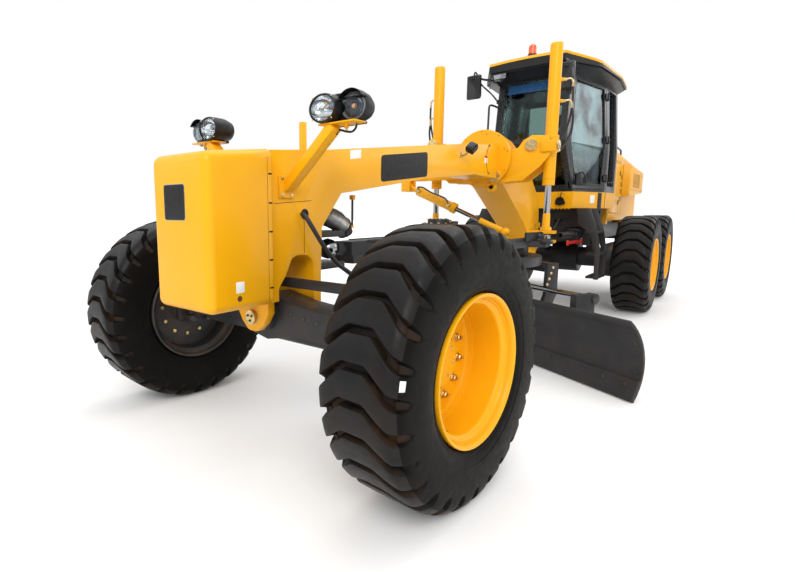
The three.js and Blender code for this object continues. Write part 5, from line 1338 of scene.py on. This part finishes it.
# grab loop on the right pillar, cross rail
b.sweep([(xf(2.70) - 0.02, -0.425, 2.690), (-4.20, -0.452, 2.700), (-4.170, -0.470, 2.680), (-4.168, -0.472, 2.60), (-4.165, -0.474, 2.36), (-4.172, -0.472, 2.300), (-4.205, -0.455, 2.285), (xf(2.28) - 0.02, -0.425, 2.285)], 0.0125, 12, mat=1, smooth=6)
b.cyl((xf(2.21) - 0.078, -0.345, 2.205), (xf(2.21) - 0.078, 0.345, 2.205), 0.012, 14, mat=1)
b.make("wiper_and_rails", [black_plastic, cabgrey], "rear_frame", 35)

# mirrors
for sn, s, mx, my, mz in (("left", 1, -3.900, 0.497, 2.840), ("right", -1, -3.980, 0.600, 2.900)):
    b = Build()
    R = Matrix.Rotation(rad(4 * s), 3, "Z") @ Matrix.Rotation(rad(3), 3, "Y")
    c = V((mx, s * my, mz))
    nu, nv = 40, 10
    rings = []
    for xo, kk in ((0.026, 0.86), (0.020, 0.95), (0.008, 1.0), (-0.014, 1.0), (-0.022, 0.975), (-0.026, 0.93)):
        ring_ = []
        for j in range(nu):
            a = 2 * math.pi * j / nu
            ca, sa = math.cos(a), math.sin(a)
            e = 0.32
            ring_.append(V((xo, 0.0905 * kk * math.copysign(abs(ca) ** e, ca) * (1.0 - 0.05 * sa), 0.140 * (kk * 0.5 + 0.5) * math.copysign(abs(sa) ** e, sa))))
        rings.append(ring_)
    vs = [c + R @ p for r_ in rings for p in r_]
    fs = []
    for i in range(len(rings) - 1):
        for j in range(nu):
            fs.append((i * nu + j, i * nu + (j + 1) % nu, (i + 1) * nu + (j + 1) % nu, (i + 1) * nu + j))
    fs.append(tuple(range(nu))[::-1])
    fs.append(tuple((len(rings) - 1) * nu + j for j in range(nu)))
    b.put(vs, fs, 0)
    b.box(c + R @ V((-0.0262, 0, 0)), (0.0014, 0.150, 0.240), rot=R, mat=1)
    b.box(c + R @ V((0.030, 0, 0.098)), (0.012, 0.045, 0.016), rot=R, bev=0.004, mat=0)
    t0 = V((xf(2.98) + 0.0, s * 0.435, 2.985))
    t1 = V((xf(2.76) - 0.01, s * 0.437, 2.765))
    top_ = V((mx + 0.004, s * my, mz + 0.160))
    b.sweep([t0, (-4.200, s * 0.462, 3.004), (-4.050, s * (my * 0.5 + 0.245), 3.012), (mx - 0.02, s * (my - 0.006), mz + 0.180), top_, (mx + 0.006, s * my, mz + 0.125)], 0.0095, 10, mat=2, smooth=6)
    b.sweep([t1, (-4.250, s * 0.462, 2.830), (-4.080, s * (my * 0.5 + 0.235), 2.930), (mx - 0.026, s * (my - 0.012), mz + 0.158)], 0.0080, 10, mat=2, smooth=6)
    b.cyl((-4.15, s * 0.463, 2.888), (-4.15, s * 0.466, 3.002), 0.006, 8, mat=2)
    for p in (t0, t1):
        b.box(p + V((0.0, s * 0.002, 0)), (0.040, 0.022, 0.052), bev=0.005, mat=2)
    b.make(f"mirror_{sn}", [black_plastic, mirror_mat, cabgrey], "rear_frame", 35)

# doors: hinges, handle, latch, stay; seals
for sn, s in SIDES:
    b = Build()
    for z in (1.80, 2.30, 2.86):
        y = side_y(-5.448, z, 0.010)
        b.cyl((-5.452, s * (y + 0.004), z - 0.050), (-5.452, s * (y + 0.004), z + 0.050), 0.013, 16, mat=0, bev=0.003)
        b.box((-5.415, s * (y - 0.006), z), (0.070, 0.012, 0.074), rot=Matrix.Rotation(rad(-13 * s), 3, "Z"), bev=0.004, mat=0)
        b.spin((-5.452, s * (y + 0.004), z + 0.050), (0, 0, 1), [(0, 0.0095), (0.004, 0.008)], 12, 1)
    # handle: looped grip and lock on the lower front of the pane
    x, z = -4.860, 1.785
    y = side_y(x, z, 0.004)
    Rh = Matrix.Rotation(rad(-17 * s), 3, "Z")
    cc = V((x, s * y, z))
    b.box(cc + V((0.035, -s * 0.012, -0.02)), (0.135, 0.028, 0.150), rot=Rh, bev=0.010, seg=3, mat=0)
    pts = [cc + Rh @ V(p) for p in ((0.055, s * 0.004, 0.055), (0.055, s * 0.040, 0.062), (0.030, s * 0.052, 0.060), (-0.030, s * 0.052, -0.010), (-0.050, s * 0.052, -0.055), (-0.040, s * 0.040, -0.080), (-0.010, s * 0.006, -0.085))]
    b.sweep(pts, 0.0105, 12, mat=2, smooth=6)
    # seal strip round the pane
    ol = [(-4.792, 1.712), (-5.378, 1.712), (-5.378, 2.948), (-4.537, 2.948), (-4.438, 2.200)]
    pts = []
    for i in range(5):
        x0, z0 = ol[i]
        x1, z1 = ol[(i + 1) % 5]
        for k in range(6):
            x, z = x0 + (x1 - x0) * k / 6, z0 + (z1 - z0) * k / 6
            pts.append(V((x, s * side_y(x, z, -0.010), z)))
    pts.append(pts[0])
    b.sweep(pts, 0.0085, 8, mat=2, smooth=1)
    b.make(f"door_{sn}_fittings", [black_plastic, red_paint, hose_mat], f"cab_door_{sn}", 35)
    b = Build()
    for z in (1.80, 2.30, 2.86):
        y = side_y(-5.50, z, 0.004)
        b.box((-5.500, s * y, z), (0.055, 0.014, 0.078), bev=0.004, mat=0)
    b.box((-5.47, s * side_y(-5.47, 3.0, 0.012), 3.006), (0.040, 0.030, 0.030), bev=0.006, mat=1)
    b.cyl((-5.62, s * side_y(-5.62, 1.75, 0.0), 1.752), (-5.62, s * side_y(-5.62, 1.75, 0.035), 1.752), 0.006, 8, mat=2)
    b.box((-5.62, s * side_y(-5.62, 1.75, 0.038), 1.752), (0.050, 0.012, 0.030), bev=0.004, mat=0)
    b.make(f"door_{sn}_hinge_plates", [black_plastic, amber, zinc], "rear_frame", 35)

# ------------------------------------------------------------------ hood details
b = Build()
for s in (1, -1):
    y = s * 0.6005
    # louvre vents: a dark backing of painted shade behind yellow slats
    for k in range(4):
        z = 1.905 - 0.115 * k
        b.box((-7.010, y, z), (0.120, 0.004, 0.075), bev=0.0015, mat=1)
        for q in range(4):
            b.box((-7.010, s * 0.6035, z - 0.026 + 0.0175 * q), (0.108, 0.005, 0.0075), bev=0.0015, mat=0)
    # panel seams drawn as dark lines of painted shade
    for x in (-6.085, -6.125, -6.880, -7.095):
        b.box((x, y, 1.70), (0.004, 0.0016, 0.80), mat=1)
    b.box((-6.49, y, 2.125), (0.78, 0.0016, 0.004), mat=1)
    # pod seams and louvres, drawn as dark lines of painted shade
    for k in range(7):
        b.box((-7.45 - 0.10 * k, s * 0.7015, 1.87), (0.010, 0.004, 0.230), bev=0.001, mat=1)
    b.box((-7.76, s * 0.7005, 1.715), (1.10, 0.0016, 0.004), mat=1)
    for x, z in ((-7.14, 2.06), (-7.14, 1.64), (-8.38, 1.99), (-8.38, 1.73)):
        b.bolt((x, s * 0.7000, z), (0, s, 0), 0.010, 0.007, mat=2)
    # handrail
    b.sweep([(-6.20, s * 0.560, 2.250), (-6.20, s * 0.562, 2.330), (-6.26, s * 0.562, 2.352), (-6.90, s * 0.562, 2.322), (-6.98, s * 0.562, 2.300), (-6.99, s * 0.560, 2.215)], 0.013, 12, mat=3, smooth=6)
b.spin((-6.850, 0.170, 2.238), (0, 0, 1), [(0, 0.085), (0.010, 0.085), (0.014, 0.070)], 32, 3)
b.spin((-6.950, -0.230, 2.238), (0, 0, 1), [(0, 0.090), (0.010, 0.090), (0.014, 0.072)], 32, 3)
b.spin((-6.950, -0.230, 2.658), (0, 0, 1), [(0, 0.128), (0.020, 0.120), (0.034, 0.085), (0.040, 0.020)], 36, 3)
for k in range(18):
    a = rad(20 * k)
    b.box((-6.950 + 0.1305 * math.cos(a), -0.230 + 0.1305 * math.sin(a), 2.565), (0.003, 0.012, 0.150), rot=Matrix.Rotation(a, 3, "Z"), mat=3)
# rear grille openings drawn as dark bars of painted shade
for k in range(9):
    b.box((-8.4215, 0, 1.40 + 0.065 * k), (0.004, 0.80, 0.022), bev=0.0012, mat=1)
b.make("hood_trim", [yellow_fine, painted_shade_brown, zinc, charcoal_fine], "rear_frame", 32)
for sn, s in SIDES:
    b = Build()
    b.box((-6.30, s * 0.6025, 1.900), (0.110, 0.0024, 0.060), mat=1)
    b.box((-6.255, s * 0.6020, 1.700), (0.050, 0.006, 0.100), bev=0.003, mat=2)
    b.sweep([(-6.250, s * 0.604, 1.740), (-6.250, s * 0.622, 1.732), (-6.250, s * 0.624, 1.680), (-6.250, s * 0.605, 1.666)], 0.006, 8, mat=2, smooth=5)
    for z in (1.50, 1.95):
        b.cyl((-6.838, s * 0.604, z - 0.035), (-6.838, s * 0.604, z + 0.035), 0.008, 12, mat=2)
    b.make(f"hood_door_{sn}_trim", [yellow_fine, white_label, black_plastic], f"hood_door_{sn}", 35)

# ------------------------------------------------------------------ rear frame: red lock link, steps, hoses
b = Build()
for s in (1, -1):
    p, q = V((-5.080, s * 0.505, 0.965)), V((-4.560, s * 0.470, 0.965))
    b.box((p + q) / 2, ((q - p).length, 0.014, 0.040), rot=Matrix.Rotation(math.atan2(q.y - p.y, q.x - p.x), 3, "Z"), bev=0.004, mat=0)
    b.spin(q + V((0, 0.009, 0)), (0, -1, 0), [(0, 0.034), (0.018, 0.034)], 24, 0)
    b.spin(p + V((0, 0.012, 0)), (0, -1, 0), [(0, 0.036), (0.024, 0.036)], 24, 0)
    b.cyl(p + V((0, 0, -0.04)), p + V((0, 0, 0.04)), 0.014, 14, mat=1)
    b.box((-5.09, s * 0.480, 0.985), (0.05, 0.06, 0.05), bev=0.004, mat=2)
    # step treads
    for z, y in ((0.530, 0.760), (0.820, 0.760), (1.090, 0.720)):
        for k in range(6):
            b.box((-4.955 + 0.066 * k, s * y, z + 0.0300), (0.012, 0.120, 0.006), bev=0.001, mat=2)
    b.sweep([(-4.72, s * 0.24, 1.12), (-4.80, s * 0.27, 1.22), (-4.95, s * 0.25, 1.28), (-5.12, s * 0.22, 1.24), (-5.30, s * 0.22, 1.18)], 0.016, 10, mat=3, smooth=6)
    b.sweep([(-4.72, s * 0.20, 1.12), (-4.82, s * 0.20, 1.20), (-4.98, s * 0.18, 1.245), (-5.12, s * 0.17, 1.21), (-5.30, s * 0.17, 1.17)], 0.012, 10, mat=3, smooth=6)
    for x in (-5.30, -5.55):
        b.bolt((x, s * 0.5905, 1.20), (0, s, 0), 0.011, 0.008, mat=1)
b.make("rear_fittings", [red_paint, zinc, charcoal_fine, hose_mat], "rear_frame", 35)
for sn, s in SIDES:
    b = Build()
    for cx_ in (WB + TD / 2, WB - TD / 2):
        for k in range(10):
            a = rad(36 * k)
            b.bolt((cx_ + 0.165 * math.cos(a), s * 0.8005, 0.65 + 0.165 * math.sin(a)), (0, s, 0), 0.010, 0.008, mat=1)
    for k in range(7):
        b.bolt((WB - 0.36 + 0.12 * k, s * 0.8005, 0.865), (0, s, 0), 0.009, 0.007, mat=1)
    b.make(f"tandem_{sn}_bolts", [charcoal_fine, dark_bolt], f"tandem_{sn}", 35)

# ------------------------------------------------------------------ every remaining CAD node: same shape, rounded edges, own finish
DEFAULT = {"yellow_paint": yellow, "charcoal_paint": charcoal, "cab_grey": cabgrey, "tyre_rubber": side_painted_shade_mat, "chrome_rod": chrome,
           "window_glass": window, "seat_fabric": seat_mat, "engine_iron": iron, "lamp_black": black_plastic}
gone = {n for o in bpy.data.objects for n in o.get("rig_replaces", [])}
for n in sorted(N):
    if n in gone:
        continue
    m = DEFAULT[SLOT_OF[n]]
    if n == "moldboard":
        m = blade_mat
    if SLOT_OF[n] == "window_glass":
        N[n].data.materials.clear()
        N[n].data.materials.append(m)
        continue
    wd = 0.003 if SLOT_OF[n] in ("chrome_rod", "cab_grey", "lamp_black") else 0.004
    soften(n, m, wd, 2, 32)

# ------------------------------------------------------------------ floor
me = bpy.data.meshes.new("floor")
me.from_pydata([(-60, -60, 0), (60, -60, 0), (60, 60, 0), (-60, 60, 0)], [], [(0, 1, 2, 3)])
me.materials.append(floor_mat)
floor = bpy.data.objects.new("floor", me)
scene.collection.objects.link(floor)
